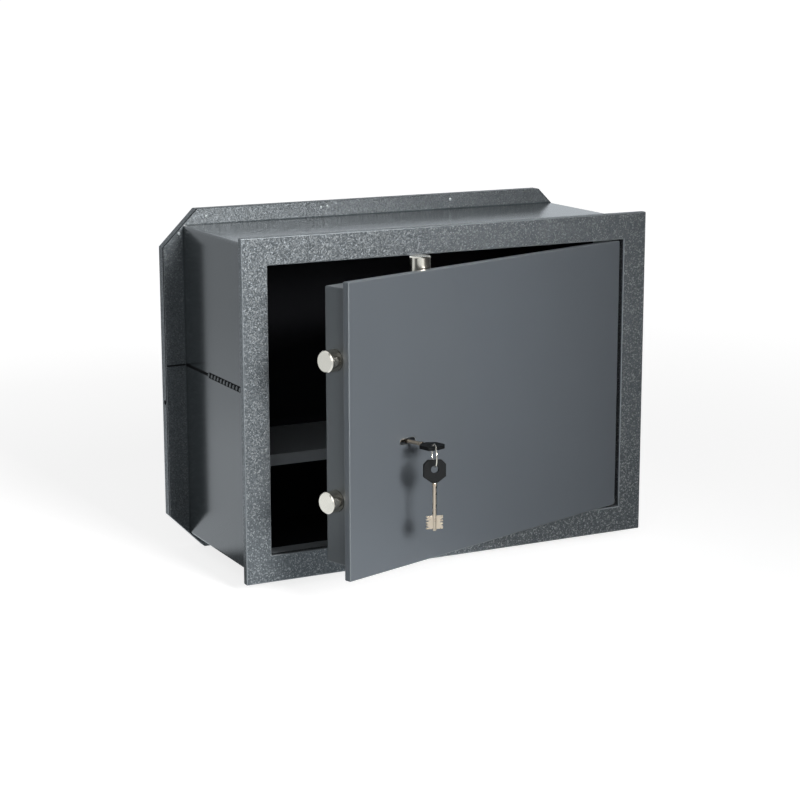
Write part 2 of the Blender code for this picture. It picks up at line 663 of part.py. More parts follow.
def bolt_guides():
    """The drilled bars behind the cover's edges in which the bolts slide."""
    bore = BOLT_DIAMETER + 2 * SHAFT_PLAY
    left = COVER_LEFT + COVER_SHEET + TOUCH
    reach = BOLT_DIAMETER / 2 + GUIDE_MARGIN
    half = SIDE_BOLT_RISE + reach
    side_guide = boxes("side_bolt_guide", [((left, DOOR_BACK, -half), (left + GUIDE_THICKNESS, ROOM_BACK, half))],
                       ZINC, door)
    carve(side_guide, rods("cut_side_guide", [(left, BOLT_DEPTH, z) for z in SIDE_BOLT_HEIGHTS], bore,
                           2 * OVERRUN, ALONG_X, None, door, ROUND_SIDES))
    top = COVER_TOP - COVER_SHEET - TOUCH
    top_guide = boxes("top_bolt_guide", [((TOP_BOLT_X - reach, DOOR_BACK, top - GUIDE_THICKNESS),
                                          (TOP_BOLT_X + reach, ROOM_BACK, top))], ZINC, door)
    carve(top_guide, rods("cut_top_guide", [(TOP_BOLT_X, BOLT_DEPTH, top)], bore, 2 * OVERRUN, ALONG_Z, None,
                          door, ROUND_SIDES))


def bolts():
    """The three round bolts with chamfered ends, each bored for the screw that holds it."""
    bore = SCREW_DIAMETER + 2 * SHAFT_PLAY
    for name, height in zip(("side_bolt_upper", "side_bolt_lower"), SIDE_BOLT_HEIGHTS):
        bolt = rods(name, [((SIDE_BOLT_TIP + SIDE_BOLT_ROOT) / 2, BOLT_DEPTH, height)], BOLT_DIAMETER,
                    SIDE_BOLT_LENGTH, ALONG_X, NICKEL, carriage, ROUND_SIDES)
        round_edges(bolt, BOLT_CHAMFER)
        carve(bolt, rods("cut_" + name, [(SIDE_BOLT_ROOT, BOLT_DEPTH, height)], bore, 2 * SCREW_LENGTH, ALONG_X,
                         None, carriage))
    top = rods("top_bolt", [(TOP_BOLT_X, BOLT_DEPTH, (TOP_BOLT_TIP + TOP_BOLT_ROOT) / 2)], BOLT_DIAMETER,
               TOP_BOLT_LENGTH, ALONG_Z, NICKEL, top_axis, ROUND_SIDES)
    round_edges(top, BOLT_CHAMFER)
    carve(top, rods("cut_top_bolt", [(TOP_BOLT_X, BOLT_DEPTH, TOP_BOLT_ROOT)], bore, 2 * SCREW_LENGTH, ALONG_Z,
                    None, top_axis))


def rivet_places(depth):
    """Where the tongue is riveted to the carriage, at a depth."""
    return [(KEY_X - inset, depth, (TONGUE_TOP + TONGUE_BOTTOM) / 2) for inset in RIVET_INSETS]


def bolt_carriage():
    """The folded plate that carries the side bolts, its screws, the studs it slides on and its drive pin."""
    half = SIDE_BOLT_RISE + CARRIAGE_OVERHANG
    low = DRIVE_HEIGHT - ARM_HEIGHT / 2
    plate = boxes("bolt_carriage", [((CARRIAGE_LEFT, CARRIAGE_FRONT, -half),
                                     (CARRIAGE_RIGHT, CARRIAGE_BACK, half))], ZINC, carriage)
    flange = boxes("add_carriage_flange", [((CARRIAGE_LEFT, CARRIAGE_FRONT, -half),
                                            (CARRIAGE_LEFT + PLATE_SHEET, CARRIAGE_FRONT + CARRIAGE_FLANGE_DEPTH,
                                             half))], None, carriage)
    arm = boxes("add_carriage_arm", [((CARRIAGE_LEFT, CARRIAGE_FRONT, low),
                                      (DRIVE_X + ARM_REACH, CARRIAGE_BACK, low + ARM_HEIGHT))], None, carriage)
    fuse(plate, flange, arm)
    radius = STUD_DIAMETER / 2 + STUD_PLAY
    for height in STUD_HEIGHTS:
        slot = stadium((STUD_X - BOLT_THROW, height), (STUD_X, height), radius)
        carve(plate, slab("cut_carriage_slot", slot, FACING_Y, 0.0, CARRIAGE_BACK + OVERRUN, None, carriage))
    carve(plate, rods("cut_carriage_screws", [(CARRIAGE_LEFT, BOLT_DEPTH, z) for z in SIDE_BOLT_HEIGHTS],
                      SCREW_DIAMETER + 2 * SHAFT_PLAY, OVERRUN, ALONG_X, None, carriage),
          rods("cut_carriage_drive", [(DRIVE_X, CARRIAGE_BACK, DRIVE_HEIGHT)], STUD_DIAMETER + 2 * SHAFT_PLAY,
               OVERRUN, ALONG_Y, None, carriage, ROUND_SIDES),
          rods("cut_carriage_rivets", rivet_places(CARRIAGE_BACK), RIVET_DIAMETER + 2 * SHAFT_PLAY, OVERRUN,
               ALONG_Y, None, carriage))
    under_head = CARRIAGE_LEFT + PLATE_SHEET + TOUCH
    screws("side_bolt_screw", carriage, [Vector((under_head, BOLT_DEPTH, z)) for z in SIDE_BOLT_HEIGHTS],
           SCREW_HEAD_DIAMETER, SCREW_HEAD_HEIGHT, SCREW_DIAMETER, ALONG_X, (-1.0, 0.0, 0.0))
    rods("drive_pin", [(DRIVE_X, CARRIAGE_FRONT + DRIVE_LENGTH / 2, DRIVE_HEIGHT)], STUD_DIAMETER, DRIVE_LENGTH,
         ALONG_Y, ZINC, carriage, ROUND_SIDES)
    under = CARRIAGE_BACK + STUD_PLAY
    tip = under + STUD_HEAD_THICKNESS
    for index, height in enumerate(STUD_HEIGHTS, 1):
        stud = rods(f"guide_stud_{index}", [(STUD_X, (DOOR_BACK + tip) / 2, height)], STUD_DIAMETER,
                    tip - DOOR_BACK, ALONG_Y, ZINC, door)
        fuse(stud, rods("add_stud_head", [(STUD_X, (under + tip) / 2, height)], STUD_HEAD_DIAMETER,
                        STUD_HEAD_THICKNESS, ALONG_Y, None, door))


def top_slide():
    """The slide whose slanted slot turns the carriage's pull into the top bolt's drop, and its bridge."""
    left = TOP_BOLT_X - SLIDE_WIDTH / 2
    right = TOP_BOLT_X + SLIDE_WIDTH / 2
    slide = boxes("top_slide", [((left, SLIDE_FRONT, DRIVE_HEIGHT - SLIDE_BELOW),
                                 (right, SLIDE_BACK, SLIDE_TOP))], ZINC, top_axis)
    foot = boxes("add_slide_foot", [((left, SLIDE_FRONT, SLIDE_TOP - PLATE_SHEET),
                                     (right, SLIDE_FRONT + SLIDE_FOOT_DEPTH, SLIDE_TOP))], None, top_axis)
    slot = stadium((DRIVE_X, DRIVE_HEIGHT), (DRIVE_X + BOLT_THROW, DRIVE_HEIGHT + BOLT_THROW),
                   STUD_DIAMETER / 2 + STUD_PLAY)
    fuse(slide, foot)
    carve(slide, slab("cut_slide_slot", slot, FACING_Y, 0.0, SLIDE_BACK + OVERRUN, None, top_axis),
          rods("cut_slide_screw", [(TOP_BOLT_X, BOLT_DEPTH, SLIDE_TOP)], SCREW_DIAMETER + 2 * SHAFT_PLAY, OVERRUN,
               ALONG_Z, None, top_axis))
    screws("top_bolt_screw", top_axis, [Vector((TOP_BOLT_X, BOLT_DEPTH, SLIDE_TOP - PLATE_SHEET - TOUCH))],
           SCREW_HEAD_DIAMETER, SCREW_HEAD_HEIGHT, SCREW_DIAMETER, ALONG_Z, (0.0, 0.0, 1.0))
    under = SLIDE_BACK + STUD_PLAY
    low = BRIDGE_HEIGHT - BRIDGE_WIDTH / 2
    high = BRIDGE_HEIGHT + BRIDGE_WIDTH / 2
    bridge = boxes("slide_bridge", [((left - BRIDGE_PLAY - BRIDGE_SHEET, DOOR_BACK, low),
                                     (right + BRIDGE_PLAY + BRIDGE_SHEET, under + BRIDGE_SHEET, high))],
                   ZINC, door)
    carve(bridge, boxes("cut_bridge", [((left - BRIDGE_PLAY, 0.0, low - OVERRUN),
                                        (right + BRIDGE_PLAY, under, high + OVERRUN))], None, door))


def lock_corners(depth):
    """The places of the lock lid's screws, in opposite corners, at a depth."""
    inset = (LOCK_SHEET + LOCK_BOSS_DIAMETER) / 2
    return [Vector((LOCK_X0 + inset, depth, LOCK_Z1 - inset)), Vector((LOCK_X1 - inset, depth, LOCK_Z0 + inset))]


def lock_case():
    """The lock's case, its lid and the lid's screws."""
    case = boxes("lock_case", [((LOCK_X0, DOOR_BACK, LOCK_Z0), (LOCK_X1, LOCK_BACK, LOCK_Z1))], ZINC, door)
    inside = boxes("cut_lock_inside", [((LOCK_X0 + LOCK_SHEET, LOCK_INNER, LOCK_Z0 + LOCK_SHEET),
                                        (LOCK_X1 - LOCK_SHEET, LOCK_BACK + OVERRUN, LOCK_Z1 - LOCK_SHEET))],
                   None, door)
    boss_front = DOOR_BACK + LOCK_SHEET / 2
    bosses = rods("add_lock_bosses", lock_corners((boss_front + LOCK_BACK) / 2), LOCK_BOSS_DIAMETER,
                  LOCK_BACK - boss_front, ALONG_Y, None, door)
    bore = LID_SCREW_DIAMETER + 2 * SHAFT_PLAY
    threads = rods("cut_lock_threads", lock_corners(LOCK_BACK), bore, 2 * SCREW_LENGTH, ALONG_Y, None, door)
    low = (LOCK_X0 - OVERRUN, TONGUE_FRONT - TONGUE_PLAY, TONGUE_BOTTOM - TONGUE_PLAY)
    high = (LOCK_X0 + LOCK_SHEET + TOUCH, TONGUE_BACK + TONGUE_PLAY, TONGUE_TOP + TONGUE_PLAY)
    window = boxes("cut_lock_window", [(low, high)], None, door)
    carve(case, inside)
    fuse(case, bosses)
    carve(case, threads, window, keyway("case", 0.0, LOCK_INNER + TOUCH))
    lid_back = LID_FRONT + LOCK_SHEET
    lid = boxes("lock_lid", [((LOCK_X0, LID_FRONT, LOCK_Z0), (LOCK_X1, lid_back, LOCK_Z1))], ZINC, door)
    carve(lid, rods("cut_lid_screws", lock_corners(LID_FRONT), bore, OVERRUN, ALONG_Y, None, door))
    screws("lock_lid_screw", door, lock_corners(lid_back + TOUCH), LID_SCREW_HEAD_DIAMETER,
           LID_SCREW_HEAD_HEIGHT, LID_SCREW_DIAMETER, ALONG_Y, (0.0, -1.0, 0.0))


def lock_tongue():
    """The tongue that the key throws, with the stump that passes through the levers, and its rivets."""
    tongue = boxes("lock_tongue", [((KEY_X - TONGUE_LEFT, TONGUE_FRONT, TONGUE_BOTTOM),
                                    (KEY_X + TONGUE_RIGHT, TONGUE_BACK, TONGUE_TOP))], BRASS, carriage)
    riser_right = RISER_X + RISER_WIDTH
    pad = boxes("add_riser_pad", [((RISER_X, TONGUE_FRONT, TONGUE_BOTTOM),
                                   (riser_right, RISER_BACK, TONGUE_TOP))], None, carriage)
    riser = boxes("add_riser", [((RISER_X, RISER_FRONT, TONGUE_BOTTOM),
                                 (riser_right, RISER_BACK, KEY_HEIGHT + RISER_TOP))], None, carriage)
    stump_front = LEVER_FRONT - LEVER_GAP / 2
    stump = rods("add_stump", [((RISER_X + riser_right) / 2, (stump_front + RISER_BACK) / 2,
                                KEY_HEIGHT + RISER_TOP - STUMP_DIAMETER)],
                 STUMP_DIAMETER, RISER_BACK - stump_front, ALONG_Y, None, carriage)
    notch = boxes("cut_notch", [((KEY_X - NOTCH_WIDTH / 2, 0.0, TONGUE_TOP - NOTCH_DEPTH),
                                 (KEY_X + NOTCH_WIDTH / 2, TONGUE_BACK + OVERRUN, TONGUE_TOP + OVERRUN))],
                  None, carriage)
    rivet_holes = rods("cut_tongue_rivets", rivet_places(TONGUE_BACK), RIVET_DIAMETER + 2 * SHAFT_PLAY,
                       2 * OVERRUN, ALONG_Y, None, carriage)
    fuse(tongue, pad, riser, stump)
    carve(tongue, notch, rivet_holes)
    head_front = TONGUE_BACK + TOUCH
    head_back = head_front + RIVET_HEAD_THICKNESS
    heads = rivet_places((head_front + head_back) / 2)
    for index, place in enumerate(rivet_places((CARRIAGE_FRONT + head_back) / 2), 1):
        rivet = rods(f"tongue_rivet_{index}", [place], RIVET_DIAMETER, head_back - CARRIAGE_FRONT, ALONG_Y, ZINC,
                     carriage)
        fuse(rivet, rods("add_rivet_head", heads[index - 1:index], RIVET_HEAD_DIAMETER, RIVET_HEAD_THICKNESS,
                         ALONG_Y, None, carriage))


def levers():
    """The levers on one pin, each with its gate cut at a height of its own, and their leaf spring."""
    left = KEY_X - LEVER_LEFT
    nose_x = KEY_X + LEVER_RIGHT - LEVER_NOSE
    window_left = KEY_X + LEVER_WINDOW_LEFT
    window_low = KEY_HEIGHT + LEVER_WINDOW_LOW
    outline = (arc((nose_x, LEVER_BOTTOM + LEVER_NOSE), LEVER_NOSE, -math.pi / 2, 0.0)
               + arc((nose_x, LEVER_TOP - LEVER_NOSE), LEVER_NOSE, 0.0, math.pi / 2)
               + [(left, LEVER_TOP), (left, LEVER_BOTTOM)])
    for index in range(LEVER_COUNT):
        front = LEVER_FRONT + index * LEVER_PITCH
        lever = slab(f"lever_{index + 1}", outline, FACING_Y, front, front + LEVER_SHEET, BRASS, lever_axis)
        window = boxes("cut_lever_window", [((window_left, 0.0, window_low),
                                             (window_left + LEVER_WINDOW_LENGTH, ROOM_BACK,
                                              window_low + LEVER_WINDOW_HEIGHT))], None, lever_axis)
        gate_low = window_low + LEVER_GATE * (1 + LEVER_GATE_ORDER[index])
        gate = boxes("cut_lever_gate", [((window_left - LEVER_GATE, 0.0, gate_low),
                                         (window_left + LEVER_GATE, ROOM_BACK, gate_low + LEVER_GATE))],
                     None, lever_axis)
        bore = rods("cut_lever_bore", [(LEVER_PIN_X, front, LEVER_PIN_Z)], LEVER_PIN_DIAMETER + 2 * SHAFT_PLAY,
                    OVERRUN, ALONG_Y, None, lever_axis)
        carve(lever, window, gate, bore)
    pin_front = LOCK_INNER + TOUCH
    rods("lever_pin", [(LEVER_PIN_X, (pin_front + LOCK_BACK) / 2, LEVER_PIN_Z)], LEVER_PIN_DIAMETER,
         LOCK_BACK - pin_front, ALONG_Y, ZINC, door)
    tip_x = KEY_X - SPRING_TIP_LEFT
    tip_z = LEVER_TOP + SPRING_TIP_RISE
    knee_x = tip_x + SPRING_RUN
    foot_z = LOCK_Z1 - LOCK_SHEET - TOUCH
    strip = [(tip_x, tip_z), (knee_x, foot_z - SPRING_SHEET), (knee_x + SPRING_FOOT, foot_z - SPRING_SHEET),
             (knee_x + SPRING_FOOT, foot_z), (knee_x - SPRING_SHEET, foot_z),
             (tip_x - SPRING_SHEET, tip_z + SPRING_SHEET)]
    slab("lever_spring", strip, FACING_Y, LEVER_FRONT, LEVERS_BACK, SPRING_STEEL, door)


def key(prefix, carrier, drop):
    """A double-bitted key, drawn hanging from its bow's hole with its bits below, and its moulded bow."""
    x, y, z = drawn_at[carrier.name] - Vector((0.0, 0.0, drop))
    tip = z + KEY_TIP
    base = z + BOW_BASE
    top = z + BOW_HOLE_MARGIN
    shaft_top = base - TOUCH
    blade = rods(prefix + "_blade", [(x, y, (shaft_top + tip) / 2)], KEY_SHAFT_DIAMETER, shaft_top - tip, ALONG_Z,
                 NICKEL, carrier)
    bit_low = tip + KEY_TIP_LENGTH
    step = BIT_LENGTH / BIT_STEPS
    core = BIT_SPAN / 2 - BIT_STEP
    bit = boxes("add_bit", [((x - core, y - BIT_SHEET / 2, bit_low),
                             (x + core, y + BIT_SHEET / 2, bit_low + BIT_LENGTH))], None, carrier)
    wards = boxes("add_wards", [((x - BIT_SPAN / 2, y - BIT_SHEET / 2, bit_low + index * step),
                                 (x + BIT_SPAN / 2, y + BIT_SHEET / 2, bit_low + (index + 1) * step))
                                for index in range(0, BIT_STEPS, 2)], None, carrier)
    tang = boxes("add_tang", [((x - TANG_WIDTH / 2, y - TANG_SHEET / 2, shaft_top - TANG_LENGTH),
                               (x + TANG_WIDTH / 2, y + TANG_SHEET / 2, shaft_top + TANG_LENGTH))], None, carrier)
    fuse(blade, bit, wards, tang)
    half = BOW_WIDTH / 2
    side = [(BOW_NECK_WIDTH / 2, base), (half, base + BOW_SHOULDER), (half, top - BOW_CORNER),
            (half - BOW_CORNER, top)]
    outline = [(x + across, up) for across, up in side] + [(x - across, up) for across, up in reversed(side)]
    bow = slab(prefix + "_bow", outline, FACING_Y, y - BOW_SHEET / 2, y + BOW_SHEET / 2, BLACK_PLASTIC, carrier)
    round_edges(bow, BOW_EDGE_ROUND)
    hole = rods("cut_bow_hole", [(x, y, z)], BOW_HOLE_DIAMETER, OVERRUN, ALONG_Y, None, carrier, ROUND_SIDES)
    socket = boxes("cut_socket", [((x - TANG_WIDTH / 2 - TOUCH, y - TANG_SHEET / 2 - TOUCH, base - OVERRUN),
                                   (x + TANG_WIDTH / 2 + TOUCH, y + TANG_SHEET / 2 + TOUCH,
                                    base + TANG_LENGTH + TOUCH))], None, carrier)
    carve(bow, hole, socket)


def key_ring():
    """The wire ring through both bows."""
    bpy.ops.mesh.primitive_torus_add(major_radius=RING_RADIUS, minor_radius=RING_WIRE / 2,
                                     major_segments=RING_SEGMENTS, minor_segments=RING_SIDES)
    helper = bpy.context.object
    work = bmesh.new()
    work.from_mesh(helper.data)
    bpy.data.objects.remove(helper, do_unlink=True)
    centre = Vector((KEY_X, HOLE_DEPTH - RING_REACH, KEY_HEIGHT - RING_DROP))
    bmesh.ops.transform(work, matrix=Matrix.Translation(centre) @ ALONG_X, verts=work.verts)
    hang("key_ring", work, NICKEL, ring_axis)


front_frame()
body_shell("upper_shell", -FRAME_HEIGHT, SEAM_HEIGHT + TOUCH / 2)
body_shell("lower_shell", SEAM_HEIGHT - TOUCH / 2, FRAME_HEIGHT)
rear_panel()
seam_welds()
shelf()
hinges()
door_plate()
lock_cover()
bolt_guides()
bolts()
bolt_carriage()
top_slide()
lock_case()
lock_tongue()
levers()
key("key", key_axis, 0.0)
key("spare_key", spare_axis, BOW_HOLE_DIAMETER / 2 - RING_SEAT)
key_ring()
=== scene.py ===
import math

import bmesh
import bpy
from mathutils import Matrix, Vector


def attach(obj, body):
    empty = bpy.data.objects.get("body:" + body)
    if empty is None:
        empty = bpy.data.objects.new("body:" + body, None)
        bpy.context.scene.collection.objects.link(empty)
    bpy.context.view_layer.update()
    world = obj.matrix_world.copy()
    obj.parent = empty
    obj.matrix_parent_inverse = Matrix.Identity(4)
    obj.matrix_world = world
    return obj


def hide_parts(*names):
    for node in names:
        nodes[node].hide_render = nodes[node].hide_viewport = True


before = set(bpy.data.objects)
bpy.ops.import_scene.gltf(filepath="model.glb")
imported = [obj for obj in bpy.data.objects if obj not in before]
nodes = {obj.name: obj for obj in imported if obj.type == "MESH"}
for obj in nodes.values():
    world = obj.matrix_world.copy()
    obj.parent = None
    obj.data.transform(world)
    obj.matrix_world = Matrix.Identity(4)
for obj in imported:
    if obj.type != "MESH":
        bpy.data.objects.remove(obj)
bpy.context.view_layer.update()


# Front frame: the 8 mm steel plate round the door, sawn, deburred and sprayed with grey hammer enamel. The
# enamel dries in small metallic speckles, drawn coarser than real ones so that they show. Along the plate's
# rounded edges it is drawn lighter, as a painted highlight.
FRAME_FACE = -0.1988
FRAME_PLATE = 0.008
FRAME_HALF = (0.240, 0.1795)
OPENING_HALF = (0.2115, 0.1505)
FRAME_EDGE = 0.0012
SPECKLE_MM = 1.6
FLECK_MM = 1.2
FLAKE_TILT = 0.22
FLAKE_SHARE = 0.44


def srgb(code):
    """The linear colour of an sRGB hex value."""
    values = [int(code[index:index + 2], 16) / 255 for index in (0, 2, 4)]
    return (*(v / 12.92 if v <= 0.04045 else ((v + 0.055) / 1.055) ** 2.4 for v in values), 1.0)


def add(tree, kind, settings=(), links=()):
    """One node with its settings and its links, each given by name or by number."""
    made = tree.nodes.new(kind)
    for name, value in dict(settings).items():
        if isinstance(name, str) and hasattr(made, name):
            setattr(made, name, value)
        else:
            made.inputs[name].default_value = value
    for name, source in dict(links).items():
        tree.links.new(source, made.inputs[name])
    return made


def surface(name, colour, roughness, metallic=0.0):
    """A Principled surface with one colour and roughness all over, and its node tree and shader."""
    made = bpy.data.materials.new(name)
    made.use_nodes = True
    shader = made.node_tree.nodes["Principled BSDF"]
    shader.inputs["Base Color"].default_value = srgb(colour)
    shader.inputs["Roughness"].default_value = roughness
    shader.inputs["Metallic"].default_value = metallic
    return made, made.node_tree, shader


def flake_skin(tree, dark, light, fleck):
    """The colour and the normal of hammer enamel: a mottle of greys over flakes that lie a little tilted."""
    place = add(tree, "ShaderNodeTexCoord").outputs["Object"]
    mottle = add(tree, "ShaderNodeTexNoise", {"Scale": 1000 / SPECKLE_MM, "Detail": 2.0, "Roughness": 0.65},
                 {"Vector": place}).outputs[0]
    spread = add(tree, "ShaderNodeMapRange", {"From Min": 0.38, "From Max": 0.62}, {0: mottle}).outputs[0]
    ground = add(tree, "ShaderNodeMix", {"data_type": "RGBA", 6: srgb(dark), 7: srgb(light)}, {0: spread})
    cells = add(tree, "ShaderNodeTexVoronoi", {"Scale": 1000 / FLECK_MM}, {"Vector": place}).outputs["Color"]
    chosen = add(tree, "ShaderNodeSeparateColor", {}, {0: cells}).outputs[0]
    picked = add(tree, "ShaderNodeMapRange", {"From Min": 0.70, "From Max": 0.95}, {0: chosen}).outputs[0]
    skin = add(tree, "ShaderNodeMix", {"data_type": "RGBA", 7: srgb(fleck)},
               {0: picked, 6: ground.outputs[2]})
    tilt = add(tree, "ShaderNodeVectorMath",
               {"operation": "MULTIPLY_ADD", 1: (FLAKE_TILT,) * 3, 2: (-FLAKE_TILT / 2,) * 3}, {0: cells})
    facing = add(tree, "ShaderNodeNewGeometry").outputs["Normal"]
    leaning = add(tree, "ShaderNodeVectorMath", {}, {0: facing, 1: tilt.outputs[0]}).outputs[0]
    level = add(tree, "ShaderNodeVectorMath", {"operation": "NORMALIZE"}, {0: leaning}).outputs[0]
    bump = add(tree, "ShaderNodeBump", {"Strength": 0.30, "Distance": 0.0005},
               {"Height": mottle, "Normal": level})
    return skin.outputs[2], bump.outputs[0]


def hammer_enamel(name, dark, light, fleck, roughness):
    """Grey hammer enamel, whose metal flakes glitter towards the light and stay dark away from it."""
    made, tree, shader = surface(name, dark, roughness, FLAKE_SHARE)
    colour, normal = flake_skin(tree, dark, light, fleck)
    tree.links.new(colour, shader.inputs["Base Color"])
    tree.links.new(normal, shader.inputs["Normal"])
    return made


def make_piece(name, work, material, body, edge=0.0, segments=3, smooth=35, second_tone=None):
    """A finished piece from drawn faces: merged, facing outwards, edges rounded, perhaps with a painted
    highlight.
    """
    bmesh.ops.remove_doubles(work, verts=work.verts, dist=0.000005)
    bmesh.ops.recalc_face_normals(work, faces=work.faces)
    mesh = bpy.data.meshes.new(name)
    work.to_mesh(mesh)
    work.free()
    mesh.materials.append(material)
    mesh.shade_smooth()
    piece = bpy.data.objects.new(name, mesh)
    bpy.context.scene.collection.objects.link(piece)
    if edge:
        rounding = piece.modifiers.new("edges", "BEVEL")
        rounding.width = edge
        rounding.segments = segments
        rounding.limit_method = "ANGLE"
        rounding.angle_limit = math.radians(smooth)
        rounding.harden_normals = True
        if second_tone is not None:
            mesh.materials.append(second_tone)
            rounding.material = 1
    else:
        mesh.set_sharp_from_angle(angle=math.radians(smooth))
    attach(piece, body)
    return piece


def ring_of_faces(work, outer, inner, start, end):
    """A flat ring between two outlines with as many points each, given a thickness along Y."""
    loops = []
    for outline, depth in ((outer, start), (inner, start), (inner, end), (outer, end)):
        loops.append([work.verts.new((x, depth, z)) for x, z in outline])
    count = len(outer)
    for first, second in zip(loops, loops[1:] + loops[:1]):
        for index in range(count):
            after = (index + 1) % count
            work.faces.new((first[index], first[after], second[after], second[index]))


def rectangle(half_x, half_z):
    """A rectangle's corners."""
    return [(half_x, half_z), (-half_x, half_z), (-half_x, -half_z), (half_x, -half_z)]


FRAME_ENAMEL = hammer_enamel("grey_hammer_enamel", "42474a", "565b5e", "85898b", 0.38)
work = bmesh.new()
ring_of_faces(work, rectangle(*FRAME_HALF), rectangle(*OPENING_HALF), FRAME_FACE, FRAME_FACE + FRAME_PLATE)
# Lighter enamel on the frame's rounded edges: a painted highlight.
FRAME_EDGE_HIGHLIGHT = surface("frame_edge_painted_highlight", "72777a", 0.38, 0.4)[0]
frame_plate = make_piece("frame_plate", work, FRAME_ENAMEL, "safe_body", FRAME_EDGE, 4, second_tone=FRAME_EDGE_HIGHLIGHT)
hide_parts("front_frame")


# Body shells: two folded halves of 2 mm sheet, welded along the sides and sprayed with a smooth, half-glossy
# grey enamel that mirrors the flange beside it. Their inside is painted near black, as painted shade.
BODY_HALF = (0.2287, 0.1702)
SKIN = 0.0020
PEEL_MM = 1.4
CLOUD_MM = 111
# A band round the flange where the tray meets it, painted near black: painted shade of the gap.
JOINT_Y = -0.0121
JOINT_HALF = 0.0011
# Near black for the inside of the compartment: painted shade.
INSIDE_SHADE_PAINT = {"Base Color": srgb("08090d"), "Roughness": 0.8, "Specular IOR Level": 0.15}


def satin_enamel(name, colour, roughness, metallic=0.0):
    """Smooth sprayed enamel with a faint orange peel, and a share of metal flake in it."""
    made, tree, shader = surface(name, colour, roughness, metallic)
    place = add(tree, "ShaderNodeTexCoord").outputs["Object"]
    cloud = add(tree, "ShaderNodeTexNoise", {"Scale": 1000 / CLOUD_MM, "Detail": 3.0},
                {"Vector": place}).outputs[0]
    tone = add(tree, "ShaderNodeMapRange", {"To Min": 0.94, "To Max": 1.06}, {0: cloud}).outputs[0]
    skin = add(tree, "ShaderNodeMix",
               {"data_type": "RGBA", "blend_type": "MULTIPLY", 0: 1.0, 6: srgb(colour)},
               {7: tone}).outputs[2]
    tree.links.new(skin, shader.inputs["Base Color"])
    peel = add(tree, "ShaderNodeTexNoise", {"Scale": 1000 / PEEL_MM, "Detail": 1.0}, {"Vector": place})
    bump = add(tree, "ShaderNodeBump", {"Strength": 0.05, "Distance": 0.0002}, {"Height": peel.outputs[0]})
    tree.links.new(bump.outputs[0], shader.inputs["Normal"])
    return made


def dress(material, *names):
    """Give CAD nodes their material."""
    for name in names:
        for slot in nodes[name].material_slots:
            slot.material = material


def painted_gap_shade(tree, shader):
    """Near black and without gloss where the tray meets the flange: painted shade in the gap."""
    place = add(tree, "ShaderNodeTexCoord").outputs["Object"]
    depth = add(tree, "ShaderNodeSeparateXYZ", {}, {0: place}).outputs[1]
    joint = add(tree, "ShaderNodeMath", {"operation": "COMPARE", 1: JOINT_Y, 2: JOINT_HALF},
                {0: depth}).outputs[0]
    skin = shader.inputs["Base Color"].links[0].from_socket
    colour = add(tree, "ShaderNodeMix", {"data_type": "RGBA", 7: srgb("0b0c0d")},
                 {0: joint, 6: skin}).outputs[2]
    tree.links.new(colour, shader.inputs["Base Color"])
    for name, level in (("Metallic", FLAKE_SHARE), ("Specular IOR Level", 0.5)):
        fading = add(tree, "ShaderNodeMapRange", {"To Min": level, "To Max": 0.0}, {0: joint}).outputs[0]
        tree.links.new(fading, shader.inputs[name])


def body_enamel():
    """The walls' smooth enamel, the flange's hammer enamel and painted shade inside, each on its own part."""
    made = satin_enamel("grey_satin_enamel", "3c4245", 0.17)
    tree = made.node_tree
    walls = tree.nodes["Principled BSDF"]
    place = add(tree, "ShaderNodeTexCoord").outputs["Object"]
    axes = add(tree, "ShaderNodeSeparateXYZ", {}, {0: place}).outputs
    within = []
    for grown in (0.0, SKIN):
        masks = []
        for axis, half in ((0, BODY_HALF[0]), (2, BODY_HALF[1])):
            size = add(tree, "ShaderNodeMath", {"operation": "ABSOLUTE"}, {0: axes[axis]}).outputs[0]
            masks.append(add(tree, "ShaderNodeMath", {"operation": "LESS_THAN", 1: half + grown}, {0: size}))
        within.append(add(tree, "ShaderNodeMath", {"operation": "MULTIPLY"},
                          {0: masks[0].outputs[0], 1: masks[1].outputs[0]}).outputs[0])
    flange = add(tree, "ShaderNodeBsdfPrincipled", {"Roughness": 0.40, "Metallic": FLAKE_SHARE})
    colour, normal = flake_skin(tree, "404548", "54595c", "75797b")
    tree.links.new(colour, flange.inputs["Base Color"])
    tree.links.new(normal, flange.inputs["Normal"])
    painted_gap_shade(tree, flange)
    inside_shade = add(tree, "ShaderNodeBsdfPrincipled", INSIDE_SHADE_PAINT)
    outside = add(tree, "ShaderNodeMixShader", {}, {0: within[1], 1: flange.outputs[0], 2: walls.outputs[0]})
    whole = add(tree, "ShaderNodeMixShader", {}, {0: within[0], 1: outside.outputs[0], 2: inside_shade.outputs[0]})
    tree.links.new(whole.outputs[0], tree.nodes["Material Output"].inputs["Surface"])
    return made


dress(body_enamel(), "upper_shell", "lower_shell")


# Seam welds: where the two shells meet, an open joint runs round from the flange, and a slanting rippled
# bead of weld metal closes its front half. Both were sprayed with the walls. The joint is drawn as thin
# near-black strips along it and on the flange: painted shade in the gap.
SEAM_HEIGHT = 0.0195
SEAM_ENDS = (-0.1658, -0.0808)
SEAM_WALL = 0.2300
FLANGE_Y = -0.0143
SEAM_FLANGE = (0.2310, 0.2520)
SCALE_PITCH = 0.0085
SCALE_HALF_SHARE = 0.21
BEAD_HALF_WIDTH = 0.0030
BEAD_RISE = 0.0011
BEAD_SLANT = math.radians(38)
JOINT_END = -0.0150
JOINT_OPEN = 0.0016
JOINT_UNDER_BEAD = 0.0030
JOINT_AT_FLANGE = 0.0009
JOINT_INSET = 0.0002
SHADE_SKIN = 0.0001
SHADE_UNDER_BEAD = 0.0003


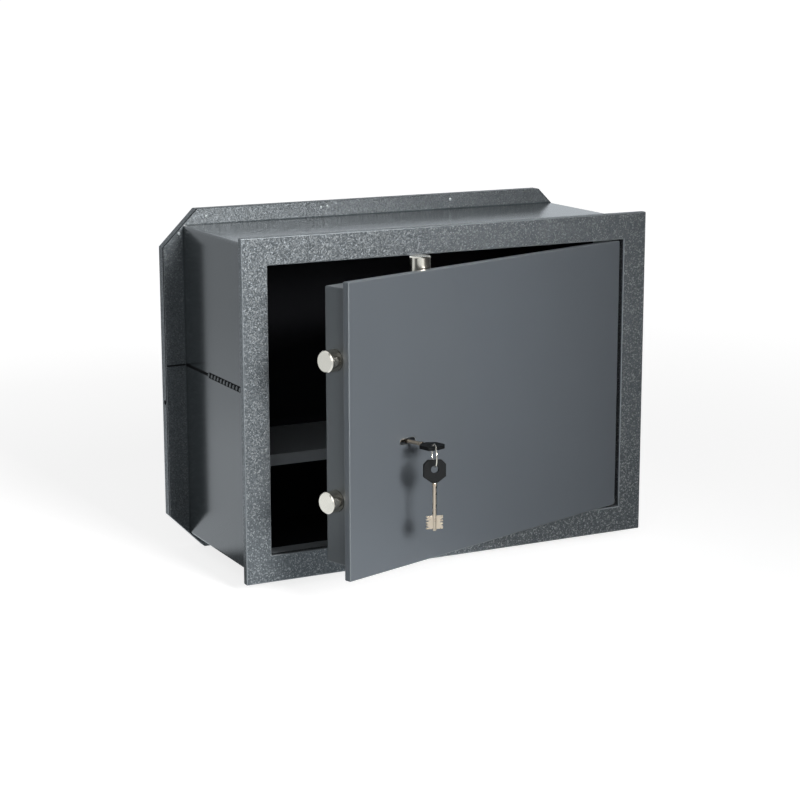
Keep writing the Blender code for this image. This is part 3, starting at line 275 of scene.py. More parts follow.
def weld_bead_tree(material):
    """A row of flattened, slightly uneven scales from one point to another."""
    tree = bpy.data.node_groups.new("weld_bead", "GeometryNodeTree")
    for name, kind in (("Start", "NodeSocketVector"), ("End", "NodeSocketVector"),
                       ("Pitch", "NodeSocketFloat"), ("Scale", "NodeSocketVector"),
                       ("Slant", "NodeSocketFloat"), ("Seed", "NodeSocketInt")):
        tree.interface.new_socket(name, in_out="INPUT", socket_type=kind)
    tree.interface.new_socket("Geometry", in_out="OUTPUT", socket_type="NodeSocketGeometry")
    given = add(tree, "NodeGroupInput").outputs
    line = add(tree, "GeometryNodeCurvePrimitiveLine", {}, {"Start": given["Start"], "End": given["End"]})
    spots = add(tree, "GeometryNodeResampleCurve", {"mode": "LENGTH"},
                {"Curve": line.outputs[0], "Length": given["Pitch"]})
    blob = add(tree, "GeometryNodeMeshUVSphere", {"Segments": 16, "Rings": 8, "Radius": 1.0})
    uneven = add(tree, "FunctionNodeRandomValue", {"data_type": "FLOAT_VECTOR", 0: (0.85, 0.9, 0.85),
                                                   1: (1.0, 1.1, 1.05)}, {"Seed": given["Seed"]})
    size = add(tree, "ShaderNodeVectorMath", {"operation": "MULTIPLY"},
               {0: given["Scale"], 1: uneven.outputs[0]})
    turn = add(tree, "ShaderNodeCombineXYZ", {}, {0: given["Slant"]}).outputs[0]
    set_down = add(tree, "GeometryNodeInstanceOnPoints", {}, {"Points": spots.outputs[0],
                                                              "Instance": blob.outputs[0], "Rotation": turn,
                                                              "Scale": size.outputs[0]})
    real = add(tree, "GeometryNodeRealizeInstances", {}, {0: set_down.outputs[0]})
    smooth = add(tree, "GeometryNodeSetShadeSmooth", {}, {0: real.outputs[0]})
    painted = add(tree, "GeometryNodeSetMaterial", {"Material": material}, {0: smooth.outputs[0]})
    add(tree, "NodeGroupOutput", {}, {0: painted.outputs[0]})
    return tree


def grow(name, tree, settings, material, body, points=()):
    """Run a tree on some points, keep the result as a plain mesh and let it ride on a body."""
    seedbed = bpy.data.meshes.new(name + "_points")
    seedbed.from_pydata([tuple(point) for point in points], [], [])
    carrier = bpy.data.objects.new(name + "_points", seedbed)
    bpy.context.scene.collection.objects.link(carrier)
    growth = carrier.modifiers.new("growth", "NODES")
    growth.node_group = tree
    for item in tree.interface.items_tree:
        if item.item_type == "SOCKET" and item.in_out == "INPUT" and item.name in settings:
            growth[item.identifier] = settings[item.name]
    bpy.context.view_layer.update()
    ready = carrier.evaluated_get(bpy.context.evaluated_depsgraph_get())
    mesh = bpy.data.meshes.new_from_object(ready)
    bpy.data.objects.remove(carrier, do_unlink=True)
    if not mesh.materials:
        mesh.materials.append(material)
    piece = bpy.data.objects.new(name, mesh)
    bpy.context.scene.collection.objects.link(piece)
    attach(piece, body)
    return piece


def flat_box(work, low, high):
    """A box between two opposite corners, added to drawn faces."""
    middle = Matrix.Translation((Vector(low) + Vector(high)) / 2)
    extent = Matrix.Diagonal((*(Vector(high) - Vector(low)), 1.0))
    bmesh.ops.create_cube(work, size=1.0, matrix=middle @ extent)


BEAD_ENAMEL = satin_enamel("enamel_over_weld", "6f7477", 0.28)
# Thin near-black strips along the open joint: painted shade in the gap.
JOINT_SHADE, _, shader = surface("seam_gap_painted_shade", "070809", 0.9)
shader.inputs["Specular IOR Level"].default_value = 0.1
bead_tree = weld_bead_tree(BEAD_ENAMEL)
for side, name in ((-1, "left"), (1, "right")):
    bead = grow("seam_bead_" + name, bead_tree,
                {"Start": (side * SEAM_WALL, SEAM_ENDS[0], SEAM_HEIGHT),
                 "End": (side * SEAM_WALL, SEAM_ENDS[1], SEAM_HEIGHT),
                 "Pitch": SCALE_PITCH, "Slant": BEAD_SLANT, "Seed": 7,
                 "Scale": (BEAD_RISE, SCALE_PITCH * SCALE_HALF_SHARE, BEAD_HALF_WIDTH)},
                BEAD_ENAMEL, "safe_body")
    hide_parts("seam_weld_" + name)
    joint = bmesh.new()
    wall = side * (SEAM_WALL - JOINT_INSET)
    flat_box(joint, (wall, SEAM_ENDS[1], SEAM_HEIGHT - JOINT_OPEN),
             (wall + side * SHADE_SKIN, JOINT_END, SEAM_HEIGHT + JOINT_OPEN))
    flat_box(joint, (wall, SEAM_ENDS[0], SEAM_HEIGHT - JOINT_UNDER_BEAD),
             (wall + side * SHADE_UNDER_BEAD, SEAM_ENDS[1], SEAM_HEIGHT + JOINT_UNDER_BEAD))
    flat_box(joint, (side * SEAM_FLANGE[0], FLANGE_Y - SHADE_SKIN, SEAM_HEIGHT - JOINT_AT_FLANGE),
             (side * SEAM_FLANGE[1], FLANGE_Y, SEAM_HEIGHT + JOINT_AT_FLANGE))
    joint_piece = make_piece("seam_joint_" + name, joint, JOINT_SHADE, "safe_body")


# Weld tacks: short beads that hold the frame plate to the body, a few on each side, sprayed with the rest.
TACK_HEIGHTS = (0.157, -0.0165, -0.141, -0.1525)
TACK_HALF_LENGTH = 0.0035
TACK_PITCH = 0.0035
TACK_SCALE = (0.0020, 0.0014, 0.0023)
TACK_PLACE = (0.2312, FRAME_FACE + FRAME_PLATE + 0.0008)
for side, name in ((-1, "left"), (1, "right")):
    for index, height in enumerate(TACK_HEIGHTS, 1):
        across = side * TACK_PLACE[0]
        tack = grow(f"frame_tack_{name}_{index}", bead_tree,
                    {"Start": (across, TACK_PLACE[1], height - TACK_HALF_LENGTH),
                     "End": (across, TACK_PLACE[1], height + TACK_HALF_LENGTH), "Pitch": TACK_PITCH,
                     "Scale": TACK_SCALE, "Slant": 0.0, "Seed": index}, BEAD_ENAMEL, "safe_body")


# Rear flange and tray: the eight-sided collar that anchors the safe in the mortar, and the shallow pressed
# tray that closes the back. Both have the frame's hammer enamel, drawn darker as painted shade. Small press
# marks stand out near the corners, in a much lighter enamel that is a painted highlight.
DIMPLES = ((-0.2030, 0.1800), (-0.2345, 0.1630), (-0.0665, 0.1820), (-0.0590, 0.1825), (0.0960, 0.1820))
DIMPLE_SIZE = (0.0018, 0.0007, 0.0020)


def panel_enamel():
    """The flange's hammer enamel, darkened as painted shade, and near black painted shade inside the
    compartment.
    """
    # Darker than the frame's enamel: painted shade.
    made = hammer_enamel("grey_hammer_enamel_rear_shaded", "2f3336", "43474a", "6c7173", 0.40)
    tree = made.node_tree
    painted_gap_shade(tree, tree.nodes["Principled BSDF"])
    facing = add(tree, "ShaderNodeNewGeometry").outputs["Normal"]
    ahead = add(tree, "ShaderNodeSeparateXYZ", {}, {0: facing}).outputs[1]
    inner = add(tree, "ShaderNodeMath", {"operation": "LESS_THAN", 1: -0.5}, {0: ahead}).outputs[0]
    inside_shade = add(tree, "ShaderNodeBsdfPrincipled", INSIDE_SHADE_PAINT)
    mixed = add(tree, "ShaderNodeMixShader", {}, {0: inner, 1: tree.nodes["Principled BSDF"].outputs[0],
                                                  2: inside_shade.outputs[0]})
    tree.links.new(mixed.outputs[0], tree.nodes["Material Output"].inputs["Surface"])
    return made


dress(panel_enamel(), "rear_panel")


def dimple_tree(material):
    """A low round blister on each point."""
    tree = bpy.data.node_groups.new("press_marks", "GeometryNodeTree")
    tree.interface.new_socket("Points", in_out="INPUT", socket_type="NodeSocketGeometry")
    tree.interface.new_socket("Size", in_out="INPUT", socket_type="NodeSocketVector")
    tree.interface.new_socket("Geometry", in_out="OUTPUT", socket_type="NodeSocketGeometry")
    given = add(tree, "NodeGroupInput").outputs
    blob = add(tree, "GeometryNodeMeshUVSphere", {"Segments": 20, "Rings": 12, "Radius": 1.0})
    set_down = add(tree, "GeometryNodeInstanceOnPoints", {}, {"Points": given["Points"],
                                                              "Instance": blob.outputs[0],
                                                              "Scale": given["Size"]})
    real = add(tree, "GeometryNodeRealizeInstances", {}, {0: set_down.outputs[0]})
    smooth = add(tree, "GeometryNodeSetShadeSmooth", {}, {0: real.outputs[0]})
    painted = add(tree, "GeometryNodeSetMaterial", {"Material": material}, {0: smooth.outputs[0]})
    add(tree, "NodeGroupOutput", {}, {0: painted.outputs[0]})
    return tree


# The press marks' much lighter enamel: a painted highlight.
PRESS_MARK_HIGHLIGHT = satin_enamel("press_mark_painted_highlight", "8a9092", 0.30)
dimples = grow("flange_press_marks", dimple_tree(PRESS_MARK_HIGHLIGHT), {"Size": DIMPLE_SIZE},
               PRESS_MARK_HIGHLIGHT, "safe_body", [(x, FLANGE_Y, z) for x, z in DIMPLES])


# Sill, shelf and shelf angles: folded sheet in a thin coat of half-glossy grey enamel, which looks dark
# because little light reaches the inside. The enamel is drawn far lighter than the walls', as painted light.
INNER_LIGHTENED_ENAMEL = satin_enamel("inner_enamel_painted_light", "7b8084", 0.35)
dress(INNER_LIGHTENED_ENAMEL, "door_sill", "shelf", "shelf_support_left", "shelf_support_right")


# Hinges: plain zinc-plated steel blocks, pins and brackets, and a brass washer under the lower block. Fine
# tool marks and a cloudy sheen let the plating show the light unevenly.
SHEEN_MM = 8.333


def plated(name, colour, roughness, scratch_mm, depth):
    """Bright-plated metal with fine tool marks along X and a cloudy sheen."""
    made, tree, shader = surface(name, colour, roughness, 1.0)
    place = add(tree, "ShaderNodeTexCoord").outputs["Object"]
    stretched = add(tree, "ShaderNodeMapping", {"Scale": (0.12, 1.0, 1.0)}, {"Vector": place}).outputs[0]
    marks = add(tree, "ShaderNodeTexNoise", {"Scale": 1000 / scratch_mm, "Detail": 2.0},
                {"Vector": stretched})
    cloud = add(tree, "ShaderNodeTexNoise", {"Scale": 1000 / SHEEN_MM}, {"Vector": place}).outputs[0]
    sheen = add(tree, "ShaderNodeMapRange", {"To Min": roughness - 0.07, "To Max": roughness + 0.09},
                {0: cloud})
    tree.links.new(sheen.outputs[0], shader.inputs["Roughness"])
    bump = add(tree, "ShaderNodeBump", {"Strength": depth, "Distance": 0.0001}, {"Height": marks.outputs[0]})
    tree.links.new(bump.outputs[0], shader.inputs["Normal"])
    return made


ZINC = plated("zinc_plate", "9b9fa2", 0.34, 0.5, 0.20)
BRASS = plated("stamped_brass", "b6924f", 0.32, 0.6, 0.15)
dress(ZINC, "hinge_bracket_upper", "hinge_bracket_lower", "hinge_block_upper", "hinge_block_lower",
      "hinge_pin_upper", "hinge_pin_lower")
dress(BRASS, "thrust_washer")


# Door plate: an 8 mm steel plate with a level key slot, ground along its edges so that they catch the light,
# and sprayed with the smooth enamel, a little duller than the body's. Its rounded edges are drawn in a
# lighter enamel, a painted highlight.
DOOR_ANGLE = math.radians(18.5)
PIVOT = Vector((0.194, 0.0115, 0.0))
DOOR_HALF = (0.207, 0.149)
DOOR_PLATE = 0.008
DOOR_EDGE = 0.0011
KEYHOLE = (-0.1263, -0.0197)
SLOT_HALF = 0.0105
SLOT_RADIUS = 0.0025
DOOR_PLACE = (Matrix.Translation((0.0, FRAME_FACE, 0.0)) @ Matrix.Translation(PIVOT)
              @ Matrix.Rotation(DOOR_ANGLE, 4, "Z") @ Matrix.Translation(-PIVOT))


def slot_outline(centre, half, radius, steps=8):
    """A level slot with round ends, from its right end round by the top."""
    points = []
    for side, turn in ((1, -math.pi / 2), (-1, math.pi / 2)):
        for index in range(steps + 1):
            angle = turn + math.pi * index / steps
            points.append((centre[0] + side * (half - radius) + radius * math.cos(angle),
                           centre[1] + radius * math.sin(angle)))
    return points


def pierced_slab(outline, holes, start, end):
    """A flat outline with holes in it, given a thickness along Y."""
    work = bmesh.new()
    edges = []
    for loop in (outline, *holes):
        corners = [work.verts.new((x, start, z)) for x, z in loop]
        edges += [work.edges.new((corners[index - 1], corners[index])) for index in range(len(corners))]
    bmesh.ops.triangle_fill(work, edges=edges, use_beauty=True)
    face = bmesh.ops.extrude_face_region(work, geom=list(work.faces))
    moved = [part for part in face["geom"] if isinstance(part, bmesh.types.BMVert)]
    bmesh.ops.translate(work, verts=moved, vec=(0.0, end - start, 0.0))
    return work


DOOR_ENAMEL = satin_enamel("grey_satin_enamel_door", "565b60", 0.42, 0.25)
work = pierced_slab(rectangle(*DOOR_HALF), [slot_outline(KEYHOLE, SLOT_HALF, SLOT_RADIUS)], 0.0, DOOR_PLATE)
work.transform(DOOR_PLACE)
# Lighter enamel on the door's rounded edges: a painted highlight.
DOOR_EDGE_HIGHLIGHT = surface("door_edge_painted_highlight", "62676a", 0.45, 0.2)[0]
door_plate = make_piece("door_face", work, DOOR_ENAMEL, "door", DOOR_EDGE, 4, second_tone=DOOR_EDGE_HIGHLIGHT)
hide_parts("door_plate")


# Keyhole rim: the slot's edge, where the enamel has worn through to bright steel.
RIM_WIDTH = 0.0007
RIM_LAP = 0.0001
RIM_RISE = 0.00015
RIM_DEPTH = 0.0006
WORN_STEEL = plated("worn_steel", "a8a9a8", 0.30, 0.5, 0.10)
work = bmesh.new()
rim = [slot_outline(KEYHOLE, SLOT_HALF + width, SLOT_RADIUS + width) for width in (RIM_WIDTH, -RIM_LAP)]
ring_of_faces(work, *rim, -RIM_RISE, RIM_DEPTH)
work.transform(DOOR_PLACE)
keyhole_rim = make_piece("keyhole_rim", work, WORN_STEEL, "door")


# Lock cover: the folded box of thin sheet behind the door plate, sprayed with smooth enamel too, with posts
# and slotted screws that hold it.
COVER_ENAMEL = satin_enamel("grey_satin_enamel_cover", "4b5053", 0.30)
COVER_BACK = 0.0355
SCREW_SEAT = 0.0002
SCREW_HEAD = {"Radius": 0.00375, "Rise": 0.0018, "Slot": 0.0010}
COVER_SCREWS = [Vector((x, COVER_BACK + SCREW_SEAT, z)) for x in (-0.1825, 0.150) for z in (-0.115, 0.122)]
dress(COVER_ENAMEL, "lock_cover")
dress(ZINC, "cover_post_1", "cover_post_2", "cover_post_3", "cover_post_4")


def slotted_screw_tree(material):
    """A domed, slotted head on each point, turned with the door."""
    tree = bpy.data.node_groups.new("slotted_screws", "GeometryNodeTree")
    for name, kind in (("Points", "NodeSocketGeometry"), ("Radius", "NodeSocketFloat"),
                       ("Rise", "NodeSocketFloat"), ("Slot", "NodeSocketFloat"),
                       ("Turn", "NodeSocketVector")):
        tree.interface.new_socket(name, in_out="INPUT", socket_type=kind)
    tree.interface.new_socket("Geometry", in_out="OUTPUT", socket_type="NodeSocketGeometry")
    given = add(tree, "NodeGroupInput").outputs
    head = add(tree, "GeometryNodeMeshUVSphere", {"Segments": 32, "Rings": 16}, {"Radius": given["Radius"]})
    squat = add(tree, "ShaderNodeMath", {"operation": "DIVIDE"},
                {0: given["Rise"], 1: given["Radius"]}).outputs[0]
    size = add(tree, "ShaderNodeCombineXYZ", {0: 1.0, 2: 1.0}, {1: squat}).outputs[0]
    flat = add(tree, "GeometryNodeTransform", {}, {"Geometry": head.outputs[0], "Scale": size})
    wide = add(tree, "ShaderNodeMath", {"operation": "MULTIPLY", 1: 3.0}, {0: given["Radius"]}).outputs[0]
    bar = add(tree, "ShaderNodeCombineXYZ", {}, {0: wide, 1: given["Rise"], 2: given["Slot"]}).outputs[0]
    cutter = add(tree, "GeometryNodeMeshCube", {}, {"Size": bar})
    raised = add(tree, "ShaderNodeCombineXYZ", {0: 0.0, 2: 0.0}, {1: given["Rise"]}).outputs[0]
    lifted = add(tree, "GeometryNodeTransform", {}, {"Geometry": cutter.outputs[0], "Translation": raised})
    cut = add(tree, "GeometryNodeMeshBoolean", {"operation": "DIFFERENCE"},
              {"Mesh 1": flat.outputs[0], "Mesh 2": lifted.outputs[0]})
    set_down = add(tree, "GeometryNodeInstanceOnPoints", {}, {"Points": given["Points"],
                                                              "Instance": cut.outputs[0],
                                                              "Rotation": given["Turn"]})
    real = add(tree, "GeometryNodeRealizeInstances", {}, {0: set_down.outputs[0]})
    painted = add(tree, "GeometryNodeSetMaterial", {"Material": material}, {0: real.outputs[0]})
    add(tree, "NodeGroupOutput", {}, {0: painted.outputs[0]})
    return tree


cover_screws = grow("cover_screw_heads", slotted_screw_tree(ZINC),
                    {**SCREW_HEAD, "Turn": (0.0, 0.0, DOOR_ANGLE)}, ZINC, "door",
                    [DOOR_PLACE @ place for place in COVER_SCREWS])
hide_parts("cover_screw_1", "cover_screw_2", "cover_screw_3", "cover_screw_4")


# Bolts: turned steel bars with a chamfered nose, nickel plated.
BOLT_RADIUS = 0.011
BOLT_DEPTH = 0.022
BOLT_NOSE = 0.0010
BOLT_ROOT = 0.0006
NOSE_LONG = 0.0003
NOSE_SHORT = 0.0002
SIDE_BOLT_X = (-0.2185, -0.1865)
SIDE_BOLT_Z = (("upper", 0.0705), ("lower", -0.0705))
TOP_BOLT = (-0.0855, 0.1280, 0.1603)


def turned(profile, place, sides=64):
    """A shape turned on a lathe: pairs of radius and height, standing along Z before it is placed."""
    work = bmesh.new()
    rings = []
    for radius, height in profile:
        if radius == 0.0:
            rings.append([work.verts.new((0.0, 0.0, height))] * sides)
        else:
            rings.append([work.verts.new((radius * math.cos(2 * math.pi * index / sides),
                                          radius * math.sin(2 * math.pi * index / sides), height))
                          for index in range(sides)])
    for low, high in zip(rings, rings[1:]):
        for index in range(sides):
            after = (index + 1) % sides
            corners = []
            for corner in (low[index], low[after], high[after], high[index]):
                if corner not in corners:
                    corners.append(corner)
            if len(corners) > 2:
                work.faces.new(corners)
    work.transform(place)
    return work


def bolt_profile(length):
    """A bolt's outline from its root to its nose, whose chamfer is eased at both corners."""
    radius = BOLT_RADIUS
    shoulder = length - BOLT_NOSE
    flat = radius - BOLT_NOSE
    return [(0.0, 0.0), (radius - BOLT_ROOT, 0.0), (radius, BOLT_ROOT), (radius, shoulder - NOSE_LONG),
            (radius - NOSE_SHORT, shoulder), (flat, length - NOSE_SHORT), (flat - NOSE_LONG, length),
            (0.0, length)]


NICKEL = plated("nickel_plate", "dcd5c8", 0.20, 0.4, 0.10)
for name, height in SIDE_BOLT_Z:
    root = Matrix.Translation((SIDE_BOLT_X[1], BOLT_DEPTH, height)) @ Matrix.Rotation(-math.pi / 2, 4, "Y")
    bolt = make_piece("turned_side_bolt_" + name, turned(bolt_profile(SIDE_BOLT_X[1] - SIDE_BOLT_X[0]),
                                                         DOOR_PLACE @ root), NICKEL, "carriage", smooth=30)
    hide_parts("side_bolt_" + name)
root = Matrix.Translation((TOP_BOLT[0], BOLT_DEPTH, TOP_BOLT[1]))
bolt = make_piece("turned_top_bolt", turned(bolt_profile(TOP_BOLT[2] - TOP_BOLT[1]), DOOR_PLACE @ root),
                  NICKEL, "top_bolt_set", smooth=30)
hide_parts("top_bolt")


# Bolt work and lock: zinc-plated sheet and bars, brass tongue and levers, and a blued leaf spring.
BLUED = plated("blued_spring_steel", "53565c", 0.35, 0.5, 0.10)
dress(ZINC, "side_bolt_guide", "top_bolt_guide", "slide_bridge", "guide_stud_1", "guide_stud_2", "lock_case",
      "lock_lid", "lock_lid_screw_1", "lock_lid_screw_2", "lever_pin", "bolt_carriage", "side_bolt_screw_1",
      "side_bolt_screw_2", "drive_pin", "tongue_rivet_1", "tongue_rivet_2", "top_slide", "top_bolt_screw_1")
dress(BRASS, "lock_tongue", "lever_1", "lever_2", "lever_3", "lever_4")
dress(BLUED, "lever_spring")


# Keys: a nickel-plated steel shaft with a cast double bit, its bow moulded on in black plastic. One is in the
# lock, level, and the spare hangs from the ring.
BOW_FORWARD = 0.03475
KEY_PLACE = DOOR_PLACE @ Matrix.Translation((KEYHOLE[0], -BOW_FORWARD, KEYHOLE[1]))
KEY_LENGTH = 0.0725
KEY_EDGE = 0.0002
SHAFT_RADIUS = 0.002
TIP_RADIUS = 0.0012
TIP_CHAMFER = 0.0008
COLLAR_RADIUS = 0.0026
COLLAR_LENGTH = 0.0030
COLLAR_FOOT = 0.0003
COLLAR_TOP = 0.0006
BIT_LENGTH = 0.0135
BIT_FROM_TIP = 0.002
BIT_HALF_THICK = 0.001
RIGHT_REACHES = (0.0085, 0.0085, 0.0070, 0.0085, 0.0058, 0.0085, 0.0070, 0.0085, 0.0085)
LEFT_REACHES = (0.0085, 0.0064, 0.0085, 0.0070, 0.0085, 0.0060, 0.0085, 0.0070, 0.0085)
BOW_TOP = 0.00975
BOW_BASE = BOW_TOP - 0.023
BOW_GAP = 0.0003
BOW_HALF = 0.0115
BOW_HALF_FOOT = 0.0035
BOW_HALF_TOP = 0.0070
BOW_FLARE = 0.006
BOW_CORNER = 0.0045
BOW_HALF_THICK = 0.0018
BOW_HOLE = 0.00375
BOW_EDGE = 0.0007
HOLE_SIDES = 32
GRAIN_MM = 0.4
TONE_MM = 5.556
RING_TURN = math.radians(-34.5)
RING_FORWARD = 0.0088
RING_DROP = 0.007
RING_RADIUS = 0.0115
SPARE_DROP = RING_DROP + RING_RADIUS + 0.0024


def black_plastic():
    """Moulded black plastic with a fine spark-eroded grain."""
    made, tree, shader = surface("moulded_black_plastic", "0b0c0d", 0.50)
    shader.inputs["Specular IOR Level"].default_value = 0.16
    place = add(tree, "ShaderNodeTexCoord").outputs["Object"]
    grain = add(tree, "ShaderNodeTexNoise", {"Scale": 1000 / GRAIN_MM, "Detail": 2.0}, {"Vector": place})
    tone = add(tree, "ShaderNodeTexNoise", {"Scale": 1000 / TONE_MM}, {"Vector": place}).outputs[0]
    second_tone = add(tree, "ShaderNodeMix", {"data_type": "RGBA", 6: srgb("050606"), 7: srgb("0f1011")}, {0: tone})
    tree.links.new(second_tone.outputs[2], shader.inputs["Base Color"])
    bump = add(tree, "ShaderNodeBump", {"Strength": 0.2, "Distance": 0.0001}, {"Height": grain.outputs[0]})
    tree.links.new(bump.outputs[0], shader.inputs["Normal"])
    return made


def wing(reaches, side):
    """One wing's stepped edge from the tip up, with a step for each reach."""
    step = BIT_LENGTH / len(reaches)
    return [(side * reach, height * step)
            for index, reach in enumerate(reaches) for height in (index, index + 1)]


def bit_outline():
    """Both wings of the bit with their cuts, from the lower right corner round."""
    corners = wing(RIGHT_REACHES, 1) + wing(LEFT_REACHES, -1)[::-1]
    return [corner for index, corner in enumerate(corners) if corner != corners[index - 1]]


def make_key(prefix, place, body):
    """A key drawn hanging with its bow's hole at the origin, then placed."""
    tip = BOW_TOP - KEY_LENGTH
    shoulder = BOW_BASE - BOW_GAP
    collar = shoulder - COLLAR_LENGTH
    shaft = [(0.0, tip), (TIP_RADIUS, tip), (SHAFT_RADIUS, tip + TIP_CHAMFER), (SHAFT_RADIUS, collar),
             (COLLAR_RADIUS, collar + COLLAR_FOOT), (COLLAR_RADIUS, shoulder - COLLAR_TOP),
             (COLLAR_RADIUS - COLLAR_FOOT, shoulder), (0.0, shoulder)]
    blade = turned(shaft, place, 32)
    wings = pierced_slab(bit_outline(), [], -BIT_HALF_THICK, BIT_HALF_THICK)
    wings.transform(place @ Matrix.Translation((0.0, 0.0, tip + BIT_FROM_TIP)))
    extra = bpy.data.meshes.new("wings")
    wings.to_mesh(extra)
    wings.free()
    blade.from_mesh(extra)
    bpy.data.meshes.remove(extra)
    shaft_piece = make_piece(prefix + "_shaft_and_bit", blade, KEY_METAL, body, KEY_EDGE, 2, 40)
    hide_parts(prefix + "_blade")
    side = [(BOW_HALF_FOOT, BOW_BASE), (BOW_HALF, BOW_BASE + BOW_FLARE), (BOW_HALF, BOW_TOP - BOW_CORNER),
            (BOW_HALF_TOP, BOW_TOP)]
    outline = side + [(-x, z) for x, z in reversed(side)]
    turns = [2 * math.pi * index / HOLE_SIDES for index in range(HOLE_SIDES)]
    hole = [(BOW_HOLE * math.cos(turn), BOW_HOLE * math.sin(turn)) for turn in turns]
    bow = pierced_slab(outline, [hole], -BOW_HALF_THICK, BOW_HALF_THICK)
    bow.transform(place)
    bow_piece = make_piece(prefix + "_moulded_bow", bow, PLASTIC, body, BOW_EDGE, 4, 30)
    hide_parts(prefix + "_bow")


PLASTIC = black_plastic()
KEY_METAL = plated("warm_nickel_plate", "bfb09d", 0.27, 0.4, 0.12)
RING_PLACE = KEY_PLACE @ Matrix.Rotation(RING_TURN, 4, "Z")
make_key("key", KEY_PLACE @ Matrix.Rotation(math.pi / 2, 4, "X"), "key")
make_key("spare_key", RING_PLACE @ Matrix.Translation((0.0, -RING_FORWARD, -SPARE_DROP)), "spare_key")


# Key ring: a split ring, two turns of spring wire lying side by side, nickel plated.
WIRE_RADIUS = 0.00044
TURNS = 2.0
WIRE_START = 2.2
ALONG_WIRE = 96
ROUND_WIRE = 12
PITCH = 0.0009
work = bmesh.new()
rings = []
for index in range(ALONG_WIRE + 1):
    angle = 2 * math.pi * TURNS * index / ALONG_WIRE + WIRE_START
    outwards = Vector((0.0, math.cos(angle), math.sin(angle)))
    spine = Vector((PITCH * (index / ALONG_WIRE - 0.5), math.cos(angle) * RING_RADIUS,
                    math.sin(angle) * RING_RADIUS))
    section = []
    for step in range(ROUND_WIRE):
        turn = 2 * math.pi * step / ROUND_WIRE
        reach = outwards * math.cos(turn) + Vector((1, 0, 0)) * math.sin(turn)
        section.append(work.verts.new(spine + WIRE_RADIUS * reach))
    rings.append(section)
for first, second in zip(rings, rings[1:]):
    for step in range(ROUND_WIRE):
        after = (step + 1) % ROUND_WIRE
        work.faces.new((first[step], first[after], second[after], second[step]))
work.faces.new(rings[0])
work.faces.new(rings[-1][::-1])
work.transform(RING_PLACE @ Matrix.Translation((0.0, -RING_FORWARD, -RING_DROP)))
split_ring = make_piece("split_ring", work, NICKEL, "ring")
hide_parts("key_ring")


# Floor: plain pale paper under the safe, which keeps its shadow. Only for glossy rays, the floor and the
# world are as bright on each side as a studio with white paper and dark cloth. These levels were set to suit
# the photograph, so they differ from the light on matt surfaces and from what the camera sees.
FLOOR_Z = -0.1884
SURROUNDINGS = ((-180, 0.85), (-120, 1.0), (-84, 1.0), (-76, 0.14), (-60, 0.14), (-50, 1.00), (4, 1.00),
                (20, 0.07), (80, 0.05), (110, 0.25), (138, 1.0), (150, 0.90), (160, 0.75), (180, 0.85))
BRIGHTEST = 2.0
COOL_WHITE = (0.93, 1.0, 1.06, 1.0)
NEAR_CARD = 1.1


def studio_round(tree, across, ahead):
    """How bright the studio is on a side of the safe, counted in degrees to the right from its front."""
    front = add(tree, "ShaderNodeMath", {"operation": "MULTIPLY", 1: -1.0}, {0: ahead}).outputs[0]
    side = add(tree, "ShaderNodeMath", {"operation": "ARCTAN2"}, {0: across, 1: front}).outputs[0]
    turn = add(tree, "ShaderNodeMapRange", {"From Min": -math.pi, "From Max": math.pi}, {0: side}).outputs[0]
    scale = add(tree, "ShaderNodeValToRGB", {}, {0: turn})
    stops = scale.color_ramp.elements
    while len(stops) < len(SURROUNDINGS):
        stops.new(0.5)
    for stop, (degrees, level) in zip(stops, SURROUNDINGS):
        stop.position = (degrees + 180) / 360
        stop.color = (level / BRIGHTEST,) * 3 + (1.0,)
    return add(tree, "ShaderNodeMath", {"operation": "MULTIPLY", 1: BRIGHTEST},
               {0: scale.outputs[0]}).outputs[0]


paper = bpy.data.materials.new("pale_paper")
paper.use_nodes = True
tree = paper.node_tree
shader = tree.nodes["Principled BSDF"]
shader.inputs["Base Color"].default_value = srgb("a8a8a8")
shader.inputs["Roughness"].default_value = 1.0
shader.inputs["Specular IOR Level"].default_value = 0.0
place = add(tree, "ShaderNodeTexCoord").outputs["Object"]
axes = add(tree, "ShaderNodeSeparateXYZ", {}, {0: place}).outputs
away = add(tree, "ShaderNodeVectorMath", {"operation": "LENGTH"}, {0: place}).outputs["Value"]
# For the camera the paper also glows, less near the safe than far off: painted shade round the safe.
level = add(tree, "ShaderNodeMapRange", {"From Min": 0.5, "From Max": 1.8, "To Min": 0.80, "To Max": 0.97},
            {0: away}).outputs[0]
glow = add(tree, "ShaderNodeEmission", {}, {"Strength": level})
nearby = add(tree, "ShaderNodeMapRange", {"From Min": 0.9, "From Max": 0.6}, {0: away}).outputs[0]
left = add(tree, "ShaderNodeMapRange", {"From Min": -0.35, "From Max": -0.50}, {0: axes[0]}).outputs[0]
card = add(tree, "ShaderNodeMath", {"operation": "MULTIPLY"}, {0: nearby, 1: left}).outputs[0]
around = add(tree, "ShaderNodeMix", {3: NEAR_CARD},
             {0: card, 2: studio_round(tree, axes[0], axes[1])}).outputs[0]
fade = add(tree, "ShaderNodeMapRange", {"From Min": 0.5, "From Max": 1.6, "To Min": 1.12, "To Max": 0.82},
           {0: away}).outputs[0]
shine = add(tree, "ShaderNodeMath", {"operation": "MULTIPLY"}, {0: around, 1: fade}).outputs[0]
gloss = add(tree, "ShaderNodeEmission", {"Color": COOL_WHITE}, {"Strength": shine})
rays = add(tree, "ShaderNodeLightPath").outputs
lit = add(tree, "ShaderNodeAddShader", {}, {0: shader.outputs[0], 1: glow.outputs[0]})
seen = add(tree, "ShaderNodeMixShader", {},
           {0: rays["Is Camera Ray"], 1: shader.outputs[0], 2: lit.outputs[0]})
